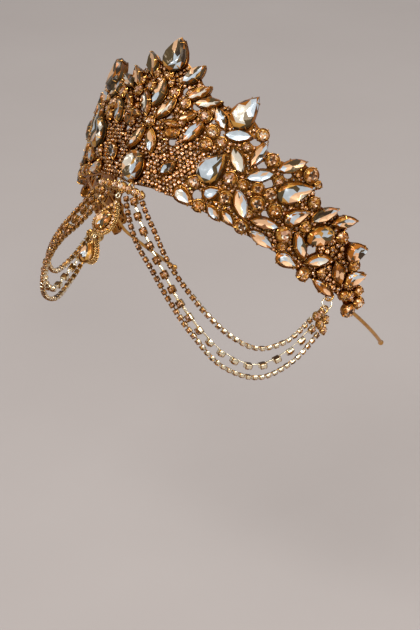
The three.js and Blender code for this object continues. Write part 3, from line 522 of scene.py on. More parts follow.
# ------------------------------------------------------------------ pieces
class Piece:
    """Gathers shapes into one mesh object with up to two materials."""

    def __init__(self, name):
        self.name = name
        self.points, self.wear, self.loops, self.sizes, self.tints, self.mats, self.smooth = [], [], [], [], [], [], []
        self.n = 0

    def add(self, shape, matrix=None, mat=0, tint=None, bright=1.0):
        p = shape.points
        faces = shape.faces
        if matrix is not None:
            p = p @ matrix[:3, :3].T + matrix[:3, 3]
            if np.linalg.det(matrix[:3, :3]) < 0:
                faces = [f[::-1] for f in faces]
        self.points.append(p)
        self.wear.append(shape.wear)
        self.loops += [i + self.n for f in faces for i in f]
        self.sizes += [len(f) for f in faces]
        letters = shape.tints or ["G"] * len(faces)
        self.tints += [tuple(c * bright for c in TINTS[t]) for t in letters]
        self.mats += [mat] * len(faces)
        self.smooth += [shape.smooth] * len(faces)
        self.n += len(p)

    def make(self, materials, slot, replaces=()):
        mesh = bpy.data.meshes.new(self.name)
        points = np.concatenate(self.points) * MM
        sizes = np.array(self.sizes, np.int32)
        mesh.vertices.add(len(points))
        mesh.vertices.foreach_set("co", points.astype(np.float32).ravel())
        mesh.loops.add(int(sizes.sum()))
        mesh.loops.foreach_set("vertex_index", np.array(self.loops, np.int32))
        mesh.polygons.add(len(sizes))
        starts = np.concatenate([[0], np.cumsum(sizes)[:-1]]).astype(np.int32)
        mesh.polygons.foreach_set("loop_start", starts)
        mesh.polygons.foreach_set("loop_total", sizes)
        mesh.polygons.foreach_set("material_index", np.array(self.mats, np.int32))
        mesh.polygons.foreach_set("use_smooth", np.array(self.smooth, bool))
        mesh.update(calc_edges=True)
        tint = mesh.attributes.new("tint", "FLOAT_COLOR", "CORNER")
        rgba = np.column_stack([np.array(self.tints, np.float32), np.ones(len(sizes), np.float32)])
        tint.data.foreach_set("color", np.repeat(rgba, sizes, 0).astype(np.float32).ravel())
        wear = mesh.attributes.new("wear", "FLOAT", "POINT")
        wear.data.foreach_set("value", np.concatenate(self.wear).astype(np.float32))
        for m in materials:
            mesh.materials.append(m)
        mesh.validate()
        mesh.set_sharp_from_angle(angle=rad(50))
        made = bpy.data.objects.new(self.name, mesh)
        bpy.context.scene.collection.objects.link(made)
        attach(made, "root")
        if replaces:
            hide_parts(*replaces)
        return made


# ------------------------------------------------------------------ materials
def nodes_of(name):
    m = bpy.data.materials.new(name)
    m.use_nodes = True
    tree = m.node_tree
    return m, tree, tree.nodes["Principled BSDF"], lambda kind, **v: _node(tree, kind, v)


def _node(tree, kind, values):
    made = tree.nodes.new(kind)
    for k, v in values.items():
        if hasattr(made, k):
            setattr(made, k, v)
        else:
            made.inputs[k.replace("_", " ")].default_value = v
    return made


def metal_material(name, dark, body, bright, rough):
    """Antique gilt, coloured by a level a point that paints light and shade as well as age: brown in the hollows,
    partly patina and partly painted shade, bright on what stands out, partly worn gilt and partly painted light, with a
    fine worn grain.
    """
    m, tree, bsdf, add = nodes_of(name)
    link = tree.links.new
    coords = add("ShaderNodeTexCoord")
    wear = add("ShaderNodeAttribute", attribute_name="wear")
    patina = add("ShaderNodeTexNoise", Scale=420.0, Detail=4.0, Roughness=0.6)
    link(coords.outputs["Object"], patina.inputs["Vector"])
    shift_by = add("ShaderNodeMath", operation="MULTIPLY_ADD")
    shift_by.inputs[1].default_value, shift_by.inputs[2].default_value = 0.7, -0.35
    link(patina.outputs["Fac"], shift_by.inputs[0])
    level = add("ShaderNodeMath", operation="ADD", use_clamp=True)
    link(wear.outputs["Fac"], level.inputs[0])
    link(shift_by.outputs[0], level.inputs[1])
    ramp = add("ShaderNodeValToRGB")
    ramp.color_ramp.elements[0].color = (*dark, 1)
    ramp.color_ramp.elements[1].color = (*bright, 1)
    ramp.color_ramp.elements[0].position, ramp.color_ramp.elements[1].position = 0.02, 1.0
    middle = ramp.color_ramp.elements.new(0.45)
    middle.color = (*body, 1)
    link(level.outputs[0], ramp.inputs["Fac"])
    link(ramp.outputs["Color"], bsdf.inputs["Base Color"])
    roughness = add("ShaderNodeMapRange")
    roughness.inputs["From Min"].default_value, roughness.inputs["From Max"].default_value = 0.0, 1.0
    roughness.inputs["To Min"].default_value, roughness.inputs["To Max"].default_value = rough[1], rough[0]
    link(level.outputs[0], roughness.inputs["Value"])
    link(roughness.outputs["Result"], bsdf.inputs["Roughness"])
    grain = add("ShaderNodeTexNoise", Scale=2600.0, Detail=3.0)
    link(coords.outputs["Object"], grain.inputs["Vector"])
    bump = add("ShaderNodeBump", Strength=0.16, Distance=0.0001)
    link(grain.outputs["Fac"], bump.inputs["Height"])
    link(bump.outputs["Normal"], bsdf.inputs["Normal"])
    bsdf.inputs["Metallic"].default_value = 1.0
    return m


def stone_material(name):
    """Foil-backed glass: each facet's tint, which paints the light it reflects, slightly uneven as cut glass is, under
    a clear polish.
    """
    m, tree, bsdf, add = nodes_of(name)
    link = tree.links.new
    coords = add("ShaderNodeTexCoord")
    tint = add("ShaderNodeAttribute", attribute_name="tint")
    cloud = add("ShaderNodeTexNoise", Scale=330.0, Detail=2.0, Roughness=0.5)
    link(coords.outputs["Object"], cloud.inputs["Vector"])
    ripple = add("ShaderNodeMapRange")
    ripple.inputs["To Min"].default_value, ripple.inputs["To Max"].default_value = 0.80, 1.16
    link(cloud.outputs["Fac"], ripple.inputs["Value"])
    mix = add("ShaderNodeVectorMath", operation="SCALE")
    link(tint.outputs["Color"], mix.inputs[0])
    link(ripple.outputs["Result"], mix.inputs["Scale"])
    link(mix.outputs["Vector"], bsdf.inputs["Base Color"])
    polish = add("ShaderNodeMapRange")
    polish.inputs["To Min"].default_value, polish.inputs["To Max"].default_value = 0.16, 0.30
    link(cloud.outputs["Fac"], polish.inputs["Value"])
    link(polish.outputs["Result"], bsdf.inputs["Roughness"])
    bsdf.inputs["Metallic"].default_value = 0.30
    bsdf.inputs["IOR"].default_value = 1.5
    bsdf.inputs["Specular IOR Level"].default_value = 0.12
    bsdf.inputs["Coat Weight"].default_value = 0.20
    bsdf.inputs["Coat Roughness"].default_value = 0.03
    bsdf.inputs["Coat IOR"].default_value = 1.5
    return m


# Each gilt runs from its darkest tone in the hollows, patina with painted shade, through its body to its brightest,
# worn gilt with painted light.
GILT = metal_material("antique_gilt", (0.075, 0.025, 0.005), (0.36, 0.135, 0.018), (0.84, 0.48, 0.14), (0.15, 0.36))
BRIGHT = metal_material("bright_gilt", (0.08, 0.030, 0.007), (0.40, 0.190, 0.036), (1.0, 0.88, 0.63), (0.12, 0.30))
WARM = metal_material("warm_gilt", (0.08, 0.030, 0.007), (0.40, 0.185, 0.034), (0.88, 0.60, 0.25), (0.12, 0.30))
STONE = stone_material("foiled_champagne_glass")

# ------------------------------------------------------------------ the stones of the wall
# For each ring of facets, the painted tints, reflected light and shade, of its odd and of its even places.
ROUND_LOOKS = {
    "pink": (("RRPC", "RBRO"), ("PCR", "BAR"), ("PRG", "AB")),
    "gold": (("GPA", "BAB"), ("PGC", "BA"), ("GPA", "AB")),
    "dark": (("KB", "KB"), ("CPP", "KB"), ("BA", "GP")),
    "pale": (("CRG", "RCP"), ("CP", "RBG"), ("PG", "AG")),
}


def round_look(kind):
    return " ".join("".join(rng.choice(pair[k % 2]) for k in range(8)) for pair in ROUND_LOOKS[kind])


def both_sides(row):
    flip = dict(row, along=-row["along"], turn=180 - row.get("turn", 0))
    if "look" in row and row["look"] not in ROUND_LOOKS:
        flip["look"] = mirrored_look(row["look"])
    return flip


large, small = [dict(r) for r in LARGE], [dict(r) for r in SET_MIDLINE]
right_looks = {r["name"]: r["look"] for r in RIGHT_LOOKS}
for row in LARGE_PAIRED:
    large.append(dict(row, name=row["name"] + "_left"))
    other = both_sides(row)
    large.append(dict(other, name=row["name"] + "_right", look=right_looks.get(row["name"], other["look"])))
for row in SET_PAIRED:
    small += [dict(row), both_sides(row)]
for row in SET_ROUNDS:
    r = dict(kind="round", along=row["along"], up=row["up"], long=row["size"], wide=row["size"], turn=0, look=row["look"])
    small += [r, both_sides(r)]

FOOT = 0.84                                      # how much of a large stone's outline its foot keeps


def side_light(along):
    """Painted shade and light on the stones' tints: those of the wearer's right are painted a little darker than those
    of the left, and those towards the left end brighter.
    """
    return 0.78 if along < -4 else 1.0 + 0.25 * ease((along - 78) / 25)


settings = Piece("crown_settings")
for s in large:
    crown, girdle = s["deep"] * 0.58, PLATE_HALF + SEAT_GAP + s["lift"] + s["deep"] * 0.42
    base = -(girdle + PLATE_HALF)
    table_size = {"navette": 0.84, "pear": 0.79, "oval": 0.76}[s["kind"]]
    lean = (rng.uniform(-3, 3), rng.uniform(-3, 3))
    m = wall_frame(s["along"], s["up"], girdle, s["turn"], lean)
    stone = Piece(s["name"] + "_gem")
    stone.add(gem(s["kind"], s["long"], s["wide"], crown, -base - 0.9, table_size, s["look"], mix="rim", sides="OKOBKOOK", foot=FOOT), m, bright=side_light(s["along"]))
    stone.make([STONE], "champagne_stone", [s["name"]])
    settings.add(basket(s["kind"], s["long"], s["wide"], base, -base - 0.9, FOOT), m)
    for at in CLAWS[s["kind"]]:
        settings.add(claw(s["kind"], s["long"], s["wide"], at, crown, table_size, base, 0.29, 0.9 if s["wide"] > 8 else 0.7, FOOT, off=0.22), m)

set_stones = Piece("crown_small_stones")
for s in small:
    wide = s["wide"]
    deep = 0.30 * wide + 0.9
    girdle = 0.75 + 0.42 * deep + rng.uniform(-0.25, 0.45)
    base, crown = -(girdle + PLATE_HALF), deep * 0.52
    table_size = {"navette": 0.76, "pear": 0.74, "oval": 0.70, "round": 0.58}[s["kind"]]
    lean = (rng.uniform(-7, 7), rng.uniform(-7, 7))
    turn = s["turn"] if s["kind"] != "round" else rng.uniform(0, 90)
    m = wall_frame(s["along"], s["up"], girdle, turn, lean)
    look = round_look(s["look"]) if s["look"] in ROUND_LOOKS else s["look"]
    set_stones.add(gem(s["kind"], s["long"] - 0.3, wide - 0.3, crown, -base - 0.7, table_size, look, count=16), m, bright=side_light(s["along"]))
    body = cup(s["kind"], s["long"], wide, base, lip=0.2, wall=0.27, count=16)
    if s["kind"] == "round":
        body.wear = np.clip(body.wear + 0.15, 0, 1)
    settings.add(body, m)
    for at in CLAWS[s["kind"]]:
        settings.add(claw(s["kind"], s["long"], wide, at, crown, table_size, base, 0.30 if wide < 5 else 0.36, 0.65), m)

# ------------------------------------------------------------------ what is left free between the settings
STEP = 0.4
GRID_END, GRID_LOW, GRID_HIGH = 142.0, -9.0, 76.0
grid_x = np.arange(0, GRID_END, STEP)
grid_y = np.arange(GRID_LOW, GRID_HIGH, STEP)
room = np.full((len(grid_x), len(grid_y)), 9.0)     # distance to the nearest stone's edge, below 0 inside it


def edge_distance(poly, px, py):
    """Signed distance to a closed polygon given anticlockwise, below 0 inside it."""
    best = np.full(px.shape, 1e9)
    inside = np.zeros(px.shape, bool)
    for a, b in zip(poly, np.roll(poly, -1, 0)):
        e = b - a
        t = np.clip(((px - a[0]) * e[0] + (py - a[1]) * e[1]) / (e @ e), 0, 1)
        best = np.minimum(best, np.hypot(px - a[0] - t * e[0], py - a[1] - t * e[1]))
        crosses = (a[1] > py) != (b[1] > py)
        slope = e[0] / e[1] if e[1] else 0.0
        inside ^= crosses & (px < a[0] + (py - a[1]) * slope)
    return np.where(inside, -best, best)


for s in large + small:
    reach = s["long"] / 2 + 9
    ix = np.where(np.abs(grid_x - s["along"]) < reach)[0]
    iy = np.where(np.abs(grid_y - s["up"]) < reach)[0]
    if len(ix) and len(iy):
        X, Y = np.meshgrid(grid_x[ix], grid_y[iy], indexing="ij")
        k = stretch(s["along"], s["up"])
        c, d = math.cos(rad(s["turn"])), math.sin(rad(s["turn"]))
        dx, dy = (X - s["along"]) * k, Y - s["up"]
        poly = outline(s["kind"], 24) * (s["long"] / 2 + 0.3, s["wide"] / 2 + 0.3)
        near = edge_distance(poly, dx * c + dy * d, -dx * d + dy * c)
        room[np.ix_(ix, iy)] = np.minimum(room[np.ix_(ix, iy)], near)

GX, GY = np.meshgrid(grid_x, grid_y, indexing="ij")


def mirrored_polygon(points):
    return np.array(points + [(-a, b) for a, b in reversed(points) if a > 0], float)


# The sheet behind the stones: it spans what lies between neighbouring settings and stays
# inside the outer tips. CLOSE is the widest notch it bridges, INSET how far it stays back.
CLOSE, INSET = 4.6, 1.5
outside = np.argwhere(room >= CLOSE)
tree = kdtree.KDTree(len(outside))
for n, (i, j) in enumerate(outside):
    tree.insert((grid_x[i], grid_y[j], 0), n)
tree.balance()
sheet = np.full(room.shape, -9.0)
for i in range(len(grid_x)):
    for j in range(len(grid_y)):
        if room[i, j] < CLOSE:
            sheet[i, j] = tree.find((grid_x[i], grid_y[j], 0))[2] - CLOSE - INSET
sheet = np.maximum(sheet, -0.8 - room)
for field_outline in (PAVE_FIELD, CREST_FIELD):
    sheet = np.maximum(sheet, -edge_distance(mirrored_polygon(field_outline), GX, GY))
for g in GAPS:
    # an opening follows the stones round it
    reach = np.hypot((GX - g["along"]) * 1.1, GY - g["up"]) - g["size"] / 2 - 0.8
    sheet = np.minimum(sheet, np.maximum(reach, 0.25 - room))
sheet = np.maximum(sheet, np.minimum(1.5 - np.abs(GY - 4.4), 128 - GX))
sheet = np.minimum(sheet, GY - 0.2)
sheet[-3:, :] = -1.0


def grid_value(values, x, y, beyond):
    i, j = int(round(abs(x) / STEP)), int(round((y - GRID_LOW) / STEP))
    return values[i, j] if 0 <= i < len(grid_x) and 0 <= j < len(grid_y) else beyond


def sheet_shape(values, front, back):
    """A sheet with the outline where values change sign, from out = back to out = front."""
    xs = np.concatenate([-grid_x[:0:-1], grid_x])[::2]
    v = np.concatenate([values[:0:-1], values])[::2, ::2]
    ys = grid_y[::2]
    index, flat, tops, walls = {}, [], [], []

    def corner(i, j):
        return add(("c", i, j), xs[i], ys[j])

    def crossing(i, j, k, l):
        key = ("e",) + (min((i, j), (k, l)) + max((i, j), (k, l)))
        (i, j), (k, l) = min((i, j), (k, l)), max((i, j), (k, l))
        t = min(0.88, max(0.12, v[i, j] / (v[i, j] - v[k, l])))
        return add(key, xs[i] + (xs[k] - xs[i]) * t, ys[j] + (ys[l] - ys[j]) * t)

    def add(key, x, y):
        if key not in index:
            index[key] = len(flat)
            flat.append((x, y))
        return index[key]

    for i in range(len(xs) - 1):
        for j in range(len(ys) - 1):
            cell = [(i, j), (i + 1, j), (i + 1, j + 1), (i, j + 1)]
            signs = [v[c] > 0 for c in cell]
            if not any(signs):
                continue
            loop = []
            for k in range(4):
                a, b = cell[k], cell[(k + 1) % 4]
                if signs[k]:
                    loop.append((corner(*a), False))
                if signs[k] != signs[(k + 1) % 4]:
                    loop.append((crossing(*a, *b), signs[k]))
            tops.append([n for n, _ in loop])
            for k in range(len(loop)):
                if loop[k][1] and not loop[(k + 1) % len(loop)][1] and len(loop) > 2:
                    walls.append((loop[k][0], loop[(k + 1) % len(loop)][0]))
    n = len(flat)
    points = [wall_point(x, y, front) for x, y in flat] + [wall_point(x, y, back) for x, y in flat]
    faces = [tuple(f) for f in tops] + [tuple(i + n for i in reversed(f)) for f in tops]
    faces += [(b, a, a + n, b + n) for a, b in walls]
    # Painted shade: the front face, down between the settings, is painted much darker than the back.
    return Shape(points, faces, None, [0.08] * n + [0.35] * n, True)


backing = Piece("crown_backing_sheet")
backing.add(sheet_shape(sheet, -0.05, -0.55))

# Fine stones on the sheet, (along, up, radius) on the wearer's left with along >= 0:
# close rows in the paved fields, then ever smaller ones wherever there is still room.
fills = []


def try_fill(x, y, radius, tuck, spacing):
    if x < radius * 0.6:
        x = 0.0
    elif x < radius:
        return
    if grid_value(room, x, y, -9) < radius - tuck or grid_value(sheet, x, y, -9) < radius * 0.55:
        return
    if any(abs(y - b) < 3 and math.hypot((x - a) * 1.08, y - b) < (radius + r) * spacing for a, b, r in fills):
        return
    fills.append((x, y, radius))


def hex_rows(radius, pitch, low, high, end, tuck, spacing, jitter=0.16, only=None):
    for row in range(int((high - low) / (pitch * 0.866)) + 1):
        for k in range(int(end / pitch) + 1):
            x, y = (k + 0.5 * (row % 2)) * pitch + rng.uniform(-jitter, jitter), low + row * pitch * 0.866 + rng.uniform(-jitter, jitter)
            if only is None or edge_distance(only, np.array(x), np.array(y)) < 0:
                try_fill(x, y, radius, tuck, spacing)


hex_rows(1.0, 2.02, 1.6, 31, 33, 0.3, 0.88, 0.28, only=mirrored_polygon(PAVE_FIELD))
hex_rows(1.0, 2.02, 40, 60, 20, 0.3, 0.88, 0.28, only=mirrored_polygon(CREST_FIELD))
for radius, tries in ((1.35, 2500), (1.1, 4000)):
    for _ in range(tries):
        try_fill(rng.uniform(0, 136), rng.uniform(0.4, 68), radius, 0.1, 1.0)
hex_rows(0.86, 1.74, 0.8, 68, 136, 0.25, 0.92)
for radius, tries in ((0.72, 9000), (0.55, 12000)):
    for _ in range(tries):
        try_fill(rng.uniform(0, 136), rng.uniform(0.3, 68), radius, 0.2, 0.95)


def fine_stone(radius):
    """A small brilliant: eight crown facets round a table cut in eight, closed below."""
    n, r = 8, radius * 0.86
    ring = lambda size, z, turn=0.0: [(size * math.cos(2 * math.pi * (k + turn) / n), size * math.sin(2 * math.pi * (k + turn) / n), z) for k in range(n)]
    top = radius * 0.42
    points = ring(r, 0.0) + ring(r * 0.58, top, 0.5) + [(0, 0, top - radius * 0.12)] + ring(r * 0.6, -0.6)
    faces, tints = [], []
    # Painted glint: two neighbouring table facets, from a random one on, take bright tints, and the other table facets
    # dark ones.
    bright = rng.randrange(8)
    for k in range(n):
        j = (k + 1) % n
        faces += [(k, j, n + k), (n + k, j, n + j), (n + k, n + j, 2 * n), (2 * n + 1 + k, 2 * n + 1 + j, j, k)]
        spark = (k - bright) % n in (0, 1)
        tints += [pick("pave"), pick("pave"), rng.choice("CPPWC") if spark else rng.choice("ABKAKR"), "B"]
    faces.append(tuple(2 * n + 1 + k for k in reversed(range(n))))
    tints.append("B")
    return Shape(points, faces, tints, 1.0, False).outward()


def fine_cup(radius, base, claws=True):
    n = 8
    r = lambda d, z: ring_at("round", n, 2 * radius * d, 2 * radius * d, 1, 0, z)
    # Painted shade inside and under the cup; the lip is lighter, partly worn gilt and partly painted light.
    body = loft([r(0.78, base), r(0.98, base * 0.4), r(1.0, 0.04), r(0.90, 0.14), r(0.84, -0.2), r(0.4, -0.5)], [0.4, 0.25, 0.45, 0.6, 0.25, 0.1])
    shapes = [body]
    for k in range(4 if claws else 0):
        a = math.pi / 4 + k * math.pi / 2
        x, y = math.cos(a) * radius, math.sin(a) * radius
        shapes.append(tube([(x, y, -0.2), (x * 0.98, y * 0.98, 0.28), (x * 0.64, y * 0.64, radius * 0.34 + 0.1)], [0.2, 0.22, 0.15], 4, 0.5, False))
    made = join(shapes)
    made.smooth = True
    return made


RADII = sorted({f[2] for f in fills})
cup_of = {r: fine_cup(r, -1.3, r > 0.7) for r in RADII}
stones_of = {r: [fine_stone(r) for _ in range(18)] for r in RADII}
fine = {1: (Piece("crown_fine_cups_left"), Piece("crown_fine_stones_left")), -1: (Piece("crown_fine_cups_right"), Piece("crown_fine_stones_right"))}
for x, y, radius in fills:
    for side in ((1, -1) if x > 0 else (1,)):
        lift = max(0.0, min(1.0, grid_value(room, x, y, 0) - radius)) * 0.35
        out = 0.75 + lift + rng.uniform(-0.25, 0.45)
        m = wall_frame(side * x, y, out, rng.uniform(0, 90), (rng.uniform(-14, 14), rng.uniform(-14, 14)))
        fine[side][0].add(cup_of[radius], m)
        # Each stone's tints take a random tone; on the wearer's right they are also painted darker, as shade.
        fine[side][1].add(rng.choice(stones_of[radius]), m, bright=rng.choice((0.55, 0.7, 0.95, 1.2, 1.5, 2.1, 3.0)) * (1.0 if side > 0 else 0.65))

# Grains of solder on the sheet, wherever neither a setting nor a fine stone covers it.
grains = Piece("crown_solder_grains")


def grain(radius):
    ring = lambda t: ring_at("round", 6, 2 * radius * math.sin(t), 2 * radius * math.sin(t), 1, 0, -radius * math.cos(t) * 0.8)
    # Painted shade at the foot of each grain, and painted light on its top.
    return loft([ring(t) for t in (1.0, 1.7, 2.4)], [0.2, 0.6, 1.0])


kinds_of_grain = {r: grain(r) for r in (0.3, 0.4, 0.52)}
placed = kdtree.KDTree(len(fills))
for n, (x, y, radius) in enumerate(fills):
    placed.insert((x, y, 0), n)
placed.balance()
laid = 0
for _ in range(9000):
    x, y, radius = rng.uniform(0, 134), rng.uniform(0.5, 68), rng.choice((0.3, 0.4, 0.52))
    if grid_value(room, x, y, -9) < radius * 0.4 or grid_value(sheet, x, y, -9) < radius * 0.7:
        continue
    if any(d < fills[n][2] + radius * 0.2 for _, n, d in placed.find_range((x, y, 0), 1.9)):
        continue
    for side in (1, -1):
        m = wall_frame(side * x, y, radius * 0.4, rng.uniform(0, 60), (rng.uniform(-25, 25), rng.uniform(-25, 25)))
        shape = kinds_of_grain[radius]
        worn = rng.uniform(0.3, 1.0)
        grains.add(Shape(shape.points, shape.faces, None, shape.wear * worn, True), m)
    laid += 1
    if laid > 1500:
        break

# ------------------------------------------------------------------ solder wires behind the settings
lattice = Piece("crown_back_wires")
knots = [(s["along"], s["up"], min(s["long"], s["wide"]) / 2) for s in large + small if s["along"] >= 0]
made_wires = set()


def clear_of_gaps(a, b):
    for g in GAPS:
        d = np.array([b[0] - a[0], b[1] - a[1]])
        t = np.clip(((g["along"] - a[0]) * d[0] + (g["up"] - a[1]) * d[1]) / (d @ d), 0, 1)
        if math.hypot(a[0] + t * d[0] - g["along"], a[1] + t * d[1] - g["up"]) < g["size"] / 2 + 0.3:
            return False
    return True


for i, a in enumerate(knots):
    near = sorted(range(len(knots)), key=lambda j: math.hypot(knots[j][0] - a[0], knots[j][1] - a[1]))[1:6]
    for j in near:
        b = knots[j]
        middle = ((a[0] + b[0]) / 2, (a[1] + b[1]) / 2)
        if (min(i, j), max(i, j)) in made_wires or math.hypot(b[0] - a[0], b[1] - a[1]) > 13 or not clear_of_gaps(a, b):
            continue
        if grid_value(sheet, *middle, -9) < 0:
            continue
        made_wires.add((min(i, j), max(i, j)))
        for side in (1, -1):
            path = [wall_point(side * (a[0] + (b[0] - a[0]) * t), a[1] + (b[1] - a[1]) * t, -0.95) for t in (0, 0.25, 0.5, 0.75, 1)]
            lattice.add(tube(path, 0.42, 6, 0.55))

# A grid of thinner wires behind the paved field.
def grid_wire(a, b):
    middle = ((a[0] + b[0]) / 2, (a[1] + b[1]) / 2)
    if clear_of_gaps((abs(a[0]), a[1]), (abs(b[0]), b[1])) and all(grid_value(sheet, x, y, -9) > 0.3 for x, y in (a, b, middle)):
        lattice.add(tube([wall_point(a[0] + (b[0] - a[0]) * t, a[1] + (b[1] - a[1]) * t, -0.9) for t in (0, 0.5, 1)], 0.34, 6, 0.5), None)


for up in (9.0, 14.0, 19.0, 24.0):
    for k in range(-11, 11):
        grid_wire((k * 3.0, up), (k * 3.0 + 3.0, up))
for k in range(-5, 6):
    for up in (4.0, 9.0, 14.0, 19.0):
        grid_wire((k * 6.0, up), (k * 6.0, up + 5.0))

# ------------------------------------------------------------------ band wire, feet and eyes
band = Piece("crown_band")
BAND_OUT = -(PLATE_HALF + WIRE_RADIUS - 0.55)
stops = list(np.linspace(-WIRE_END, WIRE_END, 121))
beads = [WIRE_END - d for d in (0.0, 0.5, 1.0, 1.6, 2.2)]
stops = sorted(set([s for s in stops if abs(s) < WIRE_END - 3] + beads + [-b for b in beads]))


def wire_radius(s):
    d = WIRE_END - abs(s)
    return max(WIRE_RADIUS, math.sqrt(max(0, FOOT_RADIUS ** 2 - (d - 0.6) ** 2))) if d < 2.4 else WIRE_RADIUS


def wire_up(s):
    return 1.2 + 3.2 * ease((134 - abs(s)) / 16)


band.add(tube([wall_point(s, wire_up(s), BAND_OUT) for s in stops], [wire_radius(s) for s in stops], 14, 0.75))
RING_CENTRE = np.array([75.6, -19.3, 13.2])
TO_BAND, TO_CHAIN, SIDE_OUT = unit(np.array([-0.2, 0.72, 0.66])), unit(np.array([0.08, -0.69, -0.72])), unit(np.array([0.985, 0.09, 0.14]))
RING_RADIUS, RING_WIRE, LUG_RADIUS, LUG_WIRE = 2.6, 0.35, 2.0, 0.5
LUG_REACH = RING_RADIUS + LUG_RADIUS - LUG_WIRE - RING_WIRE - SEAT_GAP


def facing(axis, at, hint):
    z = unit(axis)
    x = unit(hint - z * (hint @ z))
    return basis(x, np.cross(z, x), z, at)


lug_at = lambda direction: facing(np.cross(SIDE_OUT, direction), RING_CENTRE + direction * LUG_REACH, direction)
for side in (1, -1):
    m = lug_at(TO_BAND)
    band.add(torus(LUG_RADIUS, LUG_WIRE, 28, 8, 0, 0.7), m if side > 0 else mirror_x(m))

settings.make([GILT], "gilt_metal", ["crown_frame"])
set_stones.make([STONE], "champagne_stone", ["crown_frame"])
for cups_piece, stones_piece in fine.values():
    cups_piece.make([GILT], "gilt_metal", ["crown_frame"])
    stones_piece.make([STONE], "champagne_stone", ["crown_frame"])
backing.make([GILT], "gilt_metal", ["crown_frame"])
grains.make([GILT], "gilt_metal", ["crown_frame"])
lattice.make([GILT], "gilt_metal", ["crown_frame"])
band.make([GILT], "gilt_metal", ["crown_frame"])

# ------------------------------------------------------------------ side drapes
STRANDS = {
    "upper": table("turn rise clear", [
        (14.8, 46.8, 7.3), (23.6, 39.6, 3.9), (31.0, 31.8, 3.0), (38.5, 24.3, 2.6), (45.5, 17.1, 2.6),
        (52.6, 10.7, 2.5), (60.8, 6.3, 2.5), (69.9, 6.9, 2.5), (77.9, 11.0, 2.5)]),
    "middle": table("turn rise clear", [
        (10.2, 47.0, 7.4), (20.2, 38.2, 3.7), (29.2, 29.6, 2.9), (36.0, 21.2, 2.6), (43.2, 12.7, 2.5),
        (50.7, 5.5, 2.5), (60.1, 1.1, 2.5), (70.1, 3.4, 2.5), (78.4, 8.3, 2.5)]),
    "lower": table("turn rise clear", [
        (5.8, 47.1, 7.5), (16.4, 36.9, 3.5), (25.4, 29.6, 2.8), (33.0, 21.4, 2.6), (40.6, 12.4, 2.5),
        (49.6, 2.7, 2.5), (60.7, -2.3, 2.5), (71.1, 0.2, 2.5), (80.0, 6.2, 2.5)]),
}
# How the strands turn over as they hang: part of the length, degrees the stones face downwards.
TWIST = table("part degrees", [(0.0, 0), (0.36, 6), (0.48, 44), (0.58, 76), (0.72, 84), (0.84, 76), (0.93, 46), (1.0, 26)])
CUPS = {
    "upper": {"radius": 1.20, "tall": 2.1, "pitch": 3.5},
    "middle": {"radius": 1.75, "tall": 2.8, "pitch": 7.5},
    "lower": {"radius": 1.20, "tall": 2.1, "pitch": 3.4},
}


def strand_points(rows, per=30):
    p = np.array([[r["turn"], r["rise"], r["clear"]] for r in rows])
    p = np.vstack([2 * p[0] - p[1], p, 2 * p[-1] - p[-2]])
    out = []
    for i in range(1, len(p) - 2):
        for t in np.linspace(0, 1, per, endpoint=(i == len(p) - 3)):
            a, b, c, d = p[i - 1], p[i], p[i + 1], p[i + 2]
            u, v = (c - a) / 2, (d - b) / 2
            out.append((2 * b - 2 * c + u + v) * t ** 3 + (-3 * b + 3 * c - 2 * u - v) * t ** 2 + u * t + b)
    ang = np.array(out)
    tn, rs, cl = np.radians(ang[:, 0]), np.radians(ang[:, 1]), ang[:, 2]
    pts = HEAD_CENTRE + np.column_stack([(HEAD_HALF[0] + cl) * np.cos(rs) * np.sin(tn),
                                         -(HEAD_HALF[1] + cl) * np.cos(rs) * np.cos(tn),
                                         (HEAD_HALF[2] + cl) * np.sin(rs)])
    return pts


def cup_on_chain(radius, tall, mix):
    """A cup folded from flat strip, so with four flat sides and cut corners, and a round stone in it:
    z 0 at mid height, the stone on top, four claws bent over its edge from the corners."""
    r = lambda d, z: np.array([(radius * d * a, radius * d * b, z) for a, b in
                               ((1, 0.62), (0.94, 0.94), (0.62, 1), (-0.62, 1), (-0.94, 0.94), (-1, 0.62),
                                (-1, -0.62), (-0.94, -0.94), (-0.62, -1), (0.62, -1), (0.94, -0.94), (1, -0.62))])
    h = tall / 2
    metal = [loft([r(0.62, -h), r(0.92, -h), r(1.0, -h * 0.9), r(1.0, h * 0.34), r(0.94, h * 0.44), r(0.86, h * 0.38), r(0.4, h * 0.1)],
                  [0.1, 0.3, 1.0, 1.0, 0.5, 0.2, 0.1], smooth=False)]
    metal[0].wear *= np.tile([1, 0.15, 1], len(metal[0].wear) // 3)       # painted shade: the cut corners are darkened, so each flat side shows as a bright panel with dark edges
    for k in range(4):
        a = math.pi / 4 + k * math.pi / 2
        x, y = math.cos(a) * radius * 1.16, math.sin(a) * radius * 1.16
        metal.append(tube([(x, y, 0), (x * 0.98, y * 0.98, h * 0.58), (x * 0.70, y * 0.70, h * 0.92)], [0.2, 0.2, 0.15], 4, 0.4, False))
    metal = join(metal)
    words = [[pick(mix) for _ in range(8)] for _ in range(3)]
    # Painted glint: one inner and one middle facet of each stone takes a bright cream or peach tint.
    for word in words[:2]:
        word[rng.randrange(8)] = rng.choice("CP")
    look = " ".join("".join(word) for word in words)
    stone = gem("round", radius * 1.84, radius * 1.84, h * 0.66, h * 0.3, 0.48, look, mix, count=12 if radius < 1.5 else 16, dip=0.05)
    stone.points[:, 2] += h * 0.40
    return metal, stone


def flat_bar(long, wide, thick, wear=1.0):
    """A small flat link with rounded edges, along x."""
    r = lambda x, w, t: np.array([(x, w * a, t * b) for a, b in
                                  ((1, 0.4), (0.8, 1), (-0.8, 1), (-1, 0.4), (-1, -0.4), (-0.8, -1), (0.8, -1), (1, -0.4))])
    w, t = wide / 2, thick / 2
    return loft([r(-long / 2, w * 0.6, t * 0.7), r(-long / 2 + 0.15, w, t), r(long / 2 - 0.15, w, t), r(long / 2, w * 0.6, t * 0.7)], [0.7 * wear, wear, wear, 0.7 * wear])


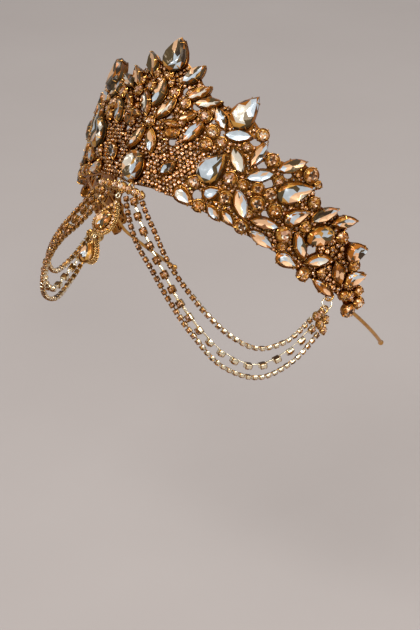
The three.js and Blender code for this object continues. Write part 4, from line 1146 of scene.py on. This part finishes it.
for which, rows in STRANDS.items():
    c = CUPS[which]
    variants = [cup_on_chain(c["radius"], c["tall"], "chain") for _ in range(10)]
    pts = strand_points(rows)
    steps = np.linalg.norm(np.diff(pts, axis=0), axis=1)
    length = np.concatenate([[0], np.cumsum(steps)])
    total = length[-1]
    count = max(2, int(round((total - 1.2) / c["pitch"])))
    pitch = (total - 1.2) / count
    at = lambda s: np.array([np.interp(s, length, pts[:, k]) for k in range(3)])
    for side_name, side in (("left", 1), ("right", -1)):
        piece = Piece(f"{which}_chain_{side_name}_links")

        def frame_at(s, low=0.0):
            p = at(s)
            t = unit(at(min(total, s + 0.4)) - at(max(0, s - 0.4)))
            n = unit((p - HEAD_CENTRE) / HEAD_HALF ** 2)
            n = unit(n - t * (n @ t))
            down = np.cross(t, n)
            phi = rad(np.interp(s / total, [r["part"] for r in TWIST], [r["degrees"] for r in TWIST]))
            f = n * math.cos(phi) + down * math.sin(phi)
            m = basis(t, np.cross(f, t), f, p + f * low)
            return m if side > 0 else mirror_x(m)

        for k in range(count + 1):
            s = 0.6 + pitch * k
            metal, stone = rng.choice(variants)
            m = frame_at(s) @ spin("x", rng.uniform(-12, 12)) @ spin("y", rng.uniform(-6, 6))
            # Painted light: the cups are painted darker along the upper part of the strand and brightest where the
            # stones turn downwards in the swag.
            painted_light_level = np.interp(s / total, (0, 0.34, 0.5, 0.9, 1), (0.5, 0.5, 1, 1, 0.8))
            piece.add(Shape(metal.points, metal.faces, None, metal.wear * painted_light_level, False), m, 0)
            piece.add(stone, m @ spin("z", rng.choice((0, 90, 180, 270))), 1, bright=rng.uniform(0.8, 1.2))
            if k < count:
                back = -c["tall"] / 2 + 0.22
                if which == "middle":
                    piece.add(flat_bar(pitch - 2 * c["radius"] + 0.6, 1.3, 0.4), frame_at(s + pitch / 2, back), 0)
                else:
                    piece.add(flat_bar(pitch - 2 * c["radius"] + 0.6, 0.6, 0.34, 0.3), frame_at(s + pitch / 2, back), 0)
        piece.make([BRIGHT, STONE], "cup_chain", [f"{which}_chain_{side_name}"])


# ------------------------------------------------------------------ forehead connector and pendant
def small_setting(piece, matrix, kind, long, wide, look, base=-1.6, count=16, thick=0.26, lean=0.0, crown=None, painted_light_level=0.3):
    crown = crown or 0.22 * wide + 0.25
    table_size = 0.60 if kind == "round" else 0.66
    m = matrix @ spin("x", rng.uniform(-lean, lean)) @ spin("y", rng.uniform(-lean, lean))
    body = cup(kind, long, wide, base, lip=0.22, wall=0.26, count=count)
    # Painted light: the cup is lifted brighter, as these settings stand out in the light.
    body.wear = np.clip(body.wear + painted_light_level, 0, 1)
    piece.add(body, m, 0)
    for at in CLAWS[kind]:
        piece.add(claw(kind, long, wide, at, crown, table_size, base, thick, 0.5 if wide > 3 else 0.35), m, 0)
    piece.add(gem(kind, long - 0.25, wide - 0.25, crown, -base - 0.7, table_size, look, count=count), m, 1)


CONNECTOR_CUPS = table("x y size look", [
    (0, 0.2, 5.2, "pale"), (4.5, 0.2, 3.7, "pink"), (8.7, -0.2, 3.7, "pale"), (12.7, -0.7, 3.7, "pink"),
    (-4.5, 0.2, 3.7, "pink"), (-8.7, -0.2, 3.7, "gold"), (-12.7, -0.7, 3.7, "pink"),
])
connector_plane = place((0, -76.4, 65.9), (0, 0.67, 0.74), (0, -0.74, 0.67))
connector = Piece("centre_connector_cups")
for c in CONNECTOR_CUPS:
    m = connector_plane @ shift(c["x"], c["y"], 0.35) @ spin("z", rng.uniform(0, 90))
    small_setting(connector, m, "round", c["size"], c["size"], round_look(c["look"]), base=-1.4, lean=5)
for s in (1, -1):
    for a, b in ((0, 4.5), (4.5, 8.7), (8.7, 12.7)):
        connector.add(flat_bar(b - a, 1.3, 0.8), connector_plane @ shift(s * (a + b) / 2, 0.05, -0.75), 0)
    m = connector_plane @ shift(s * 3.4, 2.6, -1.2) @ spin("y", 90)
    connector.add(torus(1.5, 0.4, 24, 8, 0, 0.8), m, 0)
connector.make([WARM, STONE], "gilt_metal", ["centre_connector"])


def along_outline(kind, long, wide, grow, count, phase=0.0):
    """Places evenly spread round a grown outline, as (x, y, direction of travel in degrees)."""
    fine = ring_at(kind, 240, long, wide, 1, grow)[:, :2]
    steps = np.linalg.norm(np.roll(fine, -1, 0) - fine, axis=1)
    run = np.concatenate([[0], np.cumsum(steps)])
    closed = np.vstack([fine, fine[:1]])
    for k in range(count):
        s = run[-1] * ((k + phase) % count) / count
        x, y = np.interp(s, run, closed[:, 0]), np.interp(s, run, closed[:, 1])
        x2, y2 = np.interp((s + 0.2) % run[-1], run, closed[:, 0]), np.interp((s + 0.2) % run[-1], run, closed[:, 1])
        yield x, y, math.degrees(math.atan2(y2 - y, x2 - x))


def bead(radius):
    rings = [ring_at("round", 8, 2 * radius * math.sin(t), 2 * radius * math.sin(t), 1, 0, -radius * math.cos(t)) for t in (0.5, 1.1, 1.6, 2.1, 2.65)]
    # Painted shade on the lower half of each bead, and painted light on its top.
    return loft(rings, [0.3, 0.6, 0.9, 1, 1])


upper_plane = place((-0.5, -86.2, 54.6), (0.134, 0.567, 0.813), (0, -0.747, 0.665)) @ spin("z", 90)
lower_plane = place((-3.0, -95.4, 39.9), (0.03, 0.453, 0.89), (-0.04, -0.849, 0.526)) @ spin("z", 90)

# The upper drop: a teardrop plate with a raised paved rim round an oval stone. x runs to the point.
upper = Piece("pendant_upper_mount")
long, wide, thick = 17.4, 12.2, 2.4
r = lambda grow, z: ring_at("pear", 40, long, wide, 1, grow, z)
# Painted shade in the inner step round the stone, and painted light on the raised rim.
upper.add(loft([r(-1.9, -thick), r(-0.5, -thick), r(-0.15, -thick + 0.3), r(-0.25, -thick / 2), r(-0.15, -0.6), r(-0.35, -0.25),
                r(-1.6, -0.3), r(-2.1, -0.9), r(-2.6, -0.9), r(-2.6, -thick + 0.2)],
               [0.5, 0.7, 0.9, 0.45, 0.9, 1, 0.5, 0.2, 0.3, 0.3], around=True), upper_plane)
for k, (x, y, d) in enumerate(along_outline("pear", long, wide, -1.05, 21)):
    m = upper_plane @ shift(x, y, 0.05) @ spin("z", d)
    metal, stone = cup_on_chain(0.92, 1.1, "pave")
    upper.add(metal, m, 0)
    upper.add(stone, m, 1)
for x, y, d in along_outline("pear", long, wide, -0.12, 44):
    upper.add(bead(0.26), upper_plane @ shift(x, y, -0.55), 0)
for x, y, d in along_outline("pear", long, wide, -0.12, 44, 0.5):
    upper.add(bead(0.26), upper_plane @ shift(x, y, -thick + 0.35), 0)
inner = upper_plane @ shift(-2.3, 0, 1.0)
upper.add(cup("oval", 10.2, 7.6, -2.6, lip=0.2, wall=0.26, count=24), inner, 0)
for at in CLAWS["oval"]:
    upper.add(claw("oval", 10.2, 7.6, at, 1.5, 0.64, -2.6, 0.36, 0.7), inner, 0)
upper.make([WARM, STONE], "gilt_metal", ["pendant_upper"])
stone = Piece("pendant_upper_gem")
stone.add(gem("oval", 9.9, 7.3, 1.5, 1.4, 0.64, "OPPGWKOA GPPGWOOO GAGAAOAO"), inner)
stone.make([STONE], "champagne_stone", ["pendant_upper_stone"])

# The lower drop: a pear stone over a deep open gallery of posts, with a small stone at its point.
lower = Piece("pendant_lower_mount")
long, wide, thick = 12.2, 9.2, 3.6
for grow, z, wire in ((-0.50, -thick + 0.30, 0.28), (-0.28, -0.30, 0.26)):
    ring = ring_at("pear", 48, long, wide, 1, grow, z)
    lower.add(tube(np.vstack([ring, ring[:2]]), wire * 0.7, 8, 0.6, round_ends=False), lower_plane)
    for x, y, d in along_outline("pear", long, wide, grow + 0.1, 38):
        lower.add(bead(0.30), lower_plane @ shift(x, y, z), 0)
posts = list(along_outline("pear", long, wide, -0.52, 22))
for k, (x, y, d) in enumerate(posts):
    x2, y2, _ = posts[(k + 1) % len(posts)]
    lower.add(tube([(x, y, -thick + 0.4), (x * 1.02, y * 1.02, -0.4)], 0.18, 6, 0.7), lower_plane)
    for z in (-thick + 0.95, -thick / 2, -0.95):
        lower.add(bead(0.30), lower_plane @ shift((x + x2) / 2, (y + y2) / 2, z), 0)
r = lambda scale, z, grow=-0.72: ring_at("pear", 40, long, wide, scale, grow, z)
lower.add(loft([r(0.4, -thick + 0.15), r(0.9, -thick + 0.15), r(1, -thick + 0.35), r(1, -0.35), r(1, -0.35, -1.0), r(1, -thick + 0.7, -1.0), r(0.4, -thick + 0.7)],
               [0.3, 0.5, 0.5, 0.5, 0.6, 0.3, 0.3]), lower_plane)
drop = lower_plane @ shift(-0.75, 0, 0.75)
lower.add(cup("pear", 10.2, 7.9, -3.2, count=28), drop, 0)
for at in (0.36, 0.64, 0.90):
    lower.add(claw("pear", 10.2, 7.9, at, 1.6, 0.66, -3.2, 0.34, 0.7), drop, 0)
small_setting(lower, lower_plane @ shift(5.0, 0, 0.5), "round", 2.7, 2.7, round_look("dark"), base=-2.0, count=12, thick=0.22)
lower.make([WARM, STONE], "gilt_metal", ["pendant_lower"])
stone = Piece("pendant_lower_gem")
stone.add(gem("pear", 9.9, 7.6, 1.6, 2.2, 0.66, "OPPWWCOO OPPOWCOO AAAAGGGA"), drop)
stone.make([STONE], "champagne_stone", ["pendant_lower_stone"])

for name, radius, wire, centre, axis in (("pendant_bail", 1.1, 0.35, (0.4, -79.5, 63.1), (0, -0.74, 0.67)),
                                         ("pendant_link", 0.8, 0.3, (-2.1, -92.3, 46.2), (-0.03, -0.8, 0.6))):
    ring = Piece(name + "_ring")
    ring.add(torus(radius, wire, 28, 10, 16, 0.9), facing(np.array(axis, float), np.array(centre, float), np.array([1.0, 0, 0])))
    ring.make([BRIGHT], "gilt_metal", [name])

# ------------------------------------------------------------------ side rings and the clusters that gather the strands
CLUSTER = table("x y z", [(75.9, -23.0, 9.3), (76.4, -20.5, 5.6), (75.6, -26.9, 9.3), (76.1, -25.4, 4.9), (76.7, -22.9, 1.3)])
ring_axis = unit(SIDE_OUT - TO_BAND * (SIDE_OUT @ TO_BAND))
RING_TURN = 24.0                                 # it hangs turned a little to the front in its two eyes
ring_axis = ring_axis * math.cos(rad(RING_TURN)) + np.cross(ring_axis, TO_BAND) * math.sin(rad(RING_TURN))
for side_name, side in (("left", 1), ("right", -1)):
    flip = (lambda m: m) if side > 0 else mirror_x
    ring = Piece(f"side_ring_{side_name}_wire")
    ring.add(torus(RING_RADIUS, RING_WIRE, 44, 12, 7, 0.95), flip(facing(ring_axis, RING_CENTRE, TO_CHAIN + 0.6 * np.cross(ring_axis, TO_CHAIN))))
    ring.make([BRIGHT], "gilt_metal", [f"side_ring_{side_name}"])
    end = Piece(f"chain_end_{side_name}_cups")
    plane_m = place((76.1, -23.4, 6.3), -TO_CHAIN, SIDE_OUT)
    flat = [np.linalg.inv(plane_m) @ np.array([c["x"], c["y"], c["z"], 1]) for c in CLUSTER]
    for k, c in enumerate(flat):
        m = plane_m @ shift(c[0], c[1], 0.3) @ spin("z", 20 * k)
        small_setting(end, flip(m), "round", 4.0, 4.0, round_look(("pink", "pale", "pink", "pale", "pink")[k]), base=-1.5, lean=4)
    for i, j in ((0, 1), (0, 2), (2, 3), (3, 4), (1, 4), (0, 3)):
        a, b = flat[i], flat[j]
        d = math.degrees(math.atan2(b[1] - a[1], b[0] - a[0]))
        end.add(flat_bar(math.hypot(b[0] - a[0], b[1] - a[1]), 1.5, 0.9), flip(plane_m @ shift((a[0] + b[0]) / 2, (a[1] + b[1]) / 2, -0.7) @ spin("z", d)), 0)
    end.add(torus(LUG_RADIUS, LUG_WIRE, 28, 8, 0, 0.7), flip(lug_at(TO_CHAIN)), 0)
    end.make([WARM, STONE], "gilt_metal", [f"chain_end_{side_name}"])

# ------------------------------------------------------------------ stage and light
FLOOR_Z = -0.20


def stage_material():
    m, tree, bsdf, add = nodes_of("studio_floor")
    link = tree.links.new
    coords = add("ShaderNodeTexCoord")
    cloud = add("ShaderNodeTexNoise", Scale=5.0, Detail=5.0)
    link(coords.outputs["Object"], cloud.inputs["Vector"])
    ramp = add("ShaderNodeValToRGB")
    ramp.color_ramp.elements[0].color = (0.315, 0.276, 0.259, 1)
    ramp.color_ramp.elements[1].color = (0.352, 0.313, 0.295, 1)
    link(cloud.outputs["Fac"], ramp.inputs["Fac"])
    far = add("ShaderNodeVectorMath", operation="LENGTH")
    link(coords.outputs["Object"], far.inputs[0])
    spread = add("ShaderNodeMapRange", interpolation_type="SMOOTHSTEP")
    spread.inputs["From Min"].default_value, spread.inputs["From Max"].default_value = 1.7, 6.5
    link(far.outputs["Value"], spread.inputs["Value"])
    sweep = add("ShaderNodeMix", data_type="RGBA")
    link(spread.outputs["Result"], sweep.inputs["Factor"])
    link(ramp.outputs["Color"], sweep.inputs["A"])
    sweep.inputs["B"].default_value = (0.86, 0.87, 0.89, 1)
    link(sweep.outputs["Result"], bsdf.inputs["Base Color"])
    bsdf.inputs["Roughness"].default_value = 0.95
    return m


floor_mesh = bpy.data.meshes.new("floor")
floor_mesh.from_pydata([(-14, -14, FLOOR_Z), (14, -14, FLOOR_Z), (14, 14, FLOOR_Z), (-14, 14, FLOOR_Z)], [], [(0, 1, 2, 3)])
floor_mesh.materials.append(stage_material())
floor = bpy.data.objects.new("floor", floor_mesh)
bpy.context.scene.collection.objects.link(floor)

world = bpy.data.worlds.new("studio")
bpy.context.scene.world = world
world.use_nodes = True
world.node_tree.nodes["Background"].inputs["Color"].default_value = (0.95, 0.97, 1.0, 1)
world.node_tree.nodes["Background"].inputs["Strength"].default_value = 0.42

LIGHTS = table("name azimuth elevation distance size power tint", [
    ("key_window", 15, 50, 2.6, 1.3, 50.0, (0.96, 0.98, 1.0)),
    ("fill_right", 112, 35, 2.8, 1.4, 28.0, (1.0, 0.96, 0.9)),
    ("top_back", 215, 60, 2.6, 1.0, 26.0, (1.0, 0.98, 0.95)),
    ("spark_front", 52, 32, 2.0, 0.28, 7.0, (1.0, 0.98, 0.96)),
    ("spark_left", -40, 25, 2.2, 0.4, 6.0, (1.0, 0.97, 0.92)),
    ("side_soft", 74, 25, 2.4, 1.2, 9.0, (1.0, 0.99, 0.97)),
])
for l in LIGHTS:
    data = bpy.data.lights.new(l["name"], "AREA")
    data.shape, data.size, data.energy, data.color = "SQUARE", l["size"], l["power"], l["tint"]
    a, e = rad(l["azimuth"]), rad(l["elevation"])
    lamp = bpy.data.objects.new(l["name"], data)
    at = Vector((math.sin(a) * math.cos(e), -math.cos(a) * math.cos(e), math.sin(e))) * l["distance"]
    lamp.location = at + Vector((0, 0, 0.05))
    lamp.rotation_euler = at.to_track_quat("Z", "Y").to_euler()
    lamp.visible_camera = False
    bpy.context.scene.collection.objects.link(lamp)

bpy.context.scene.view_settings.view_transform = "Standard"
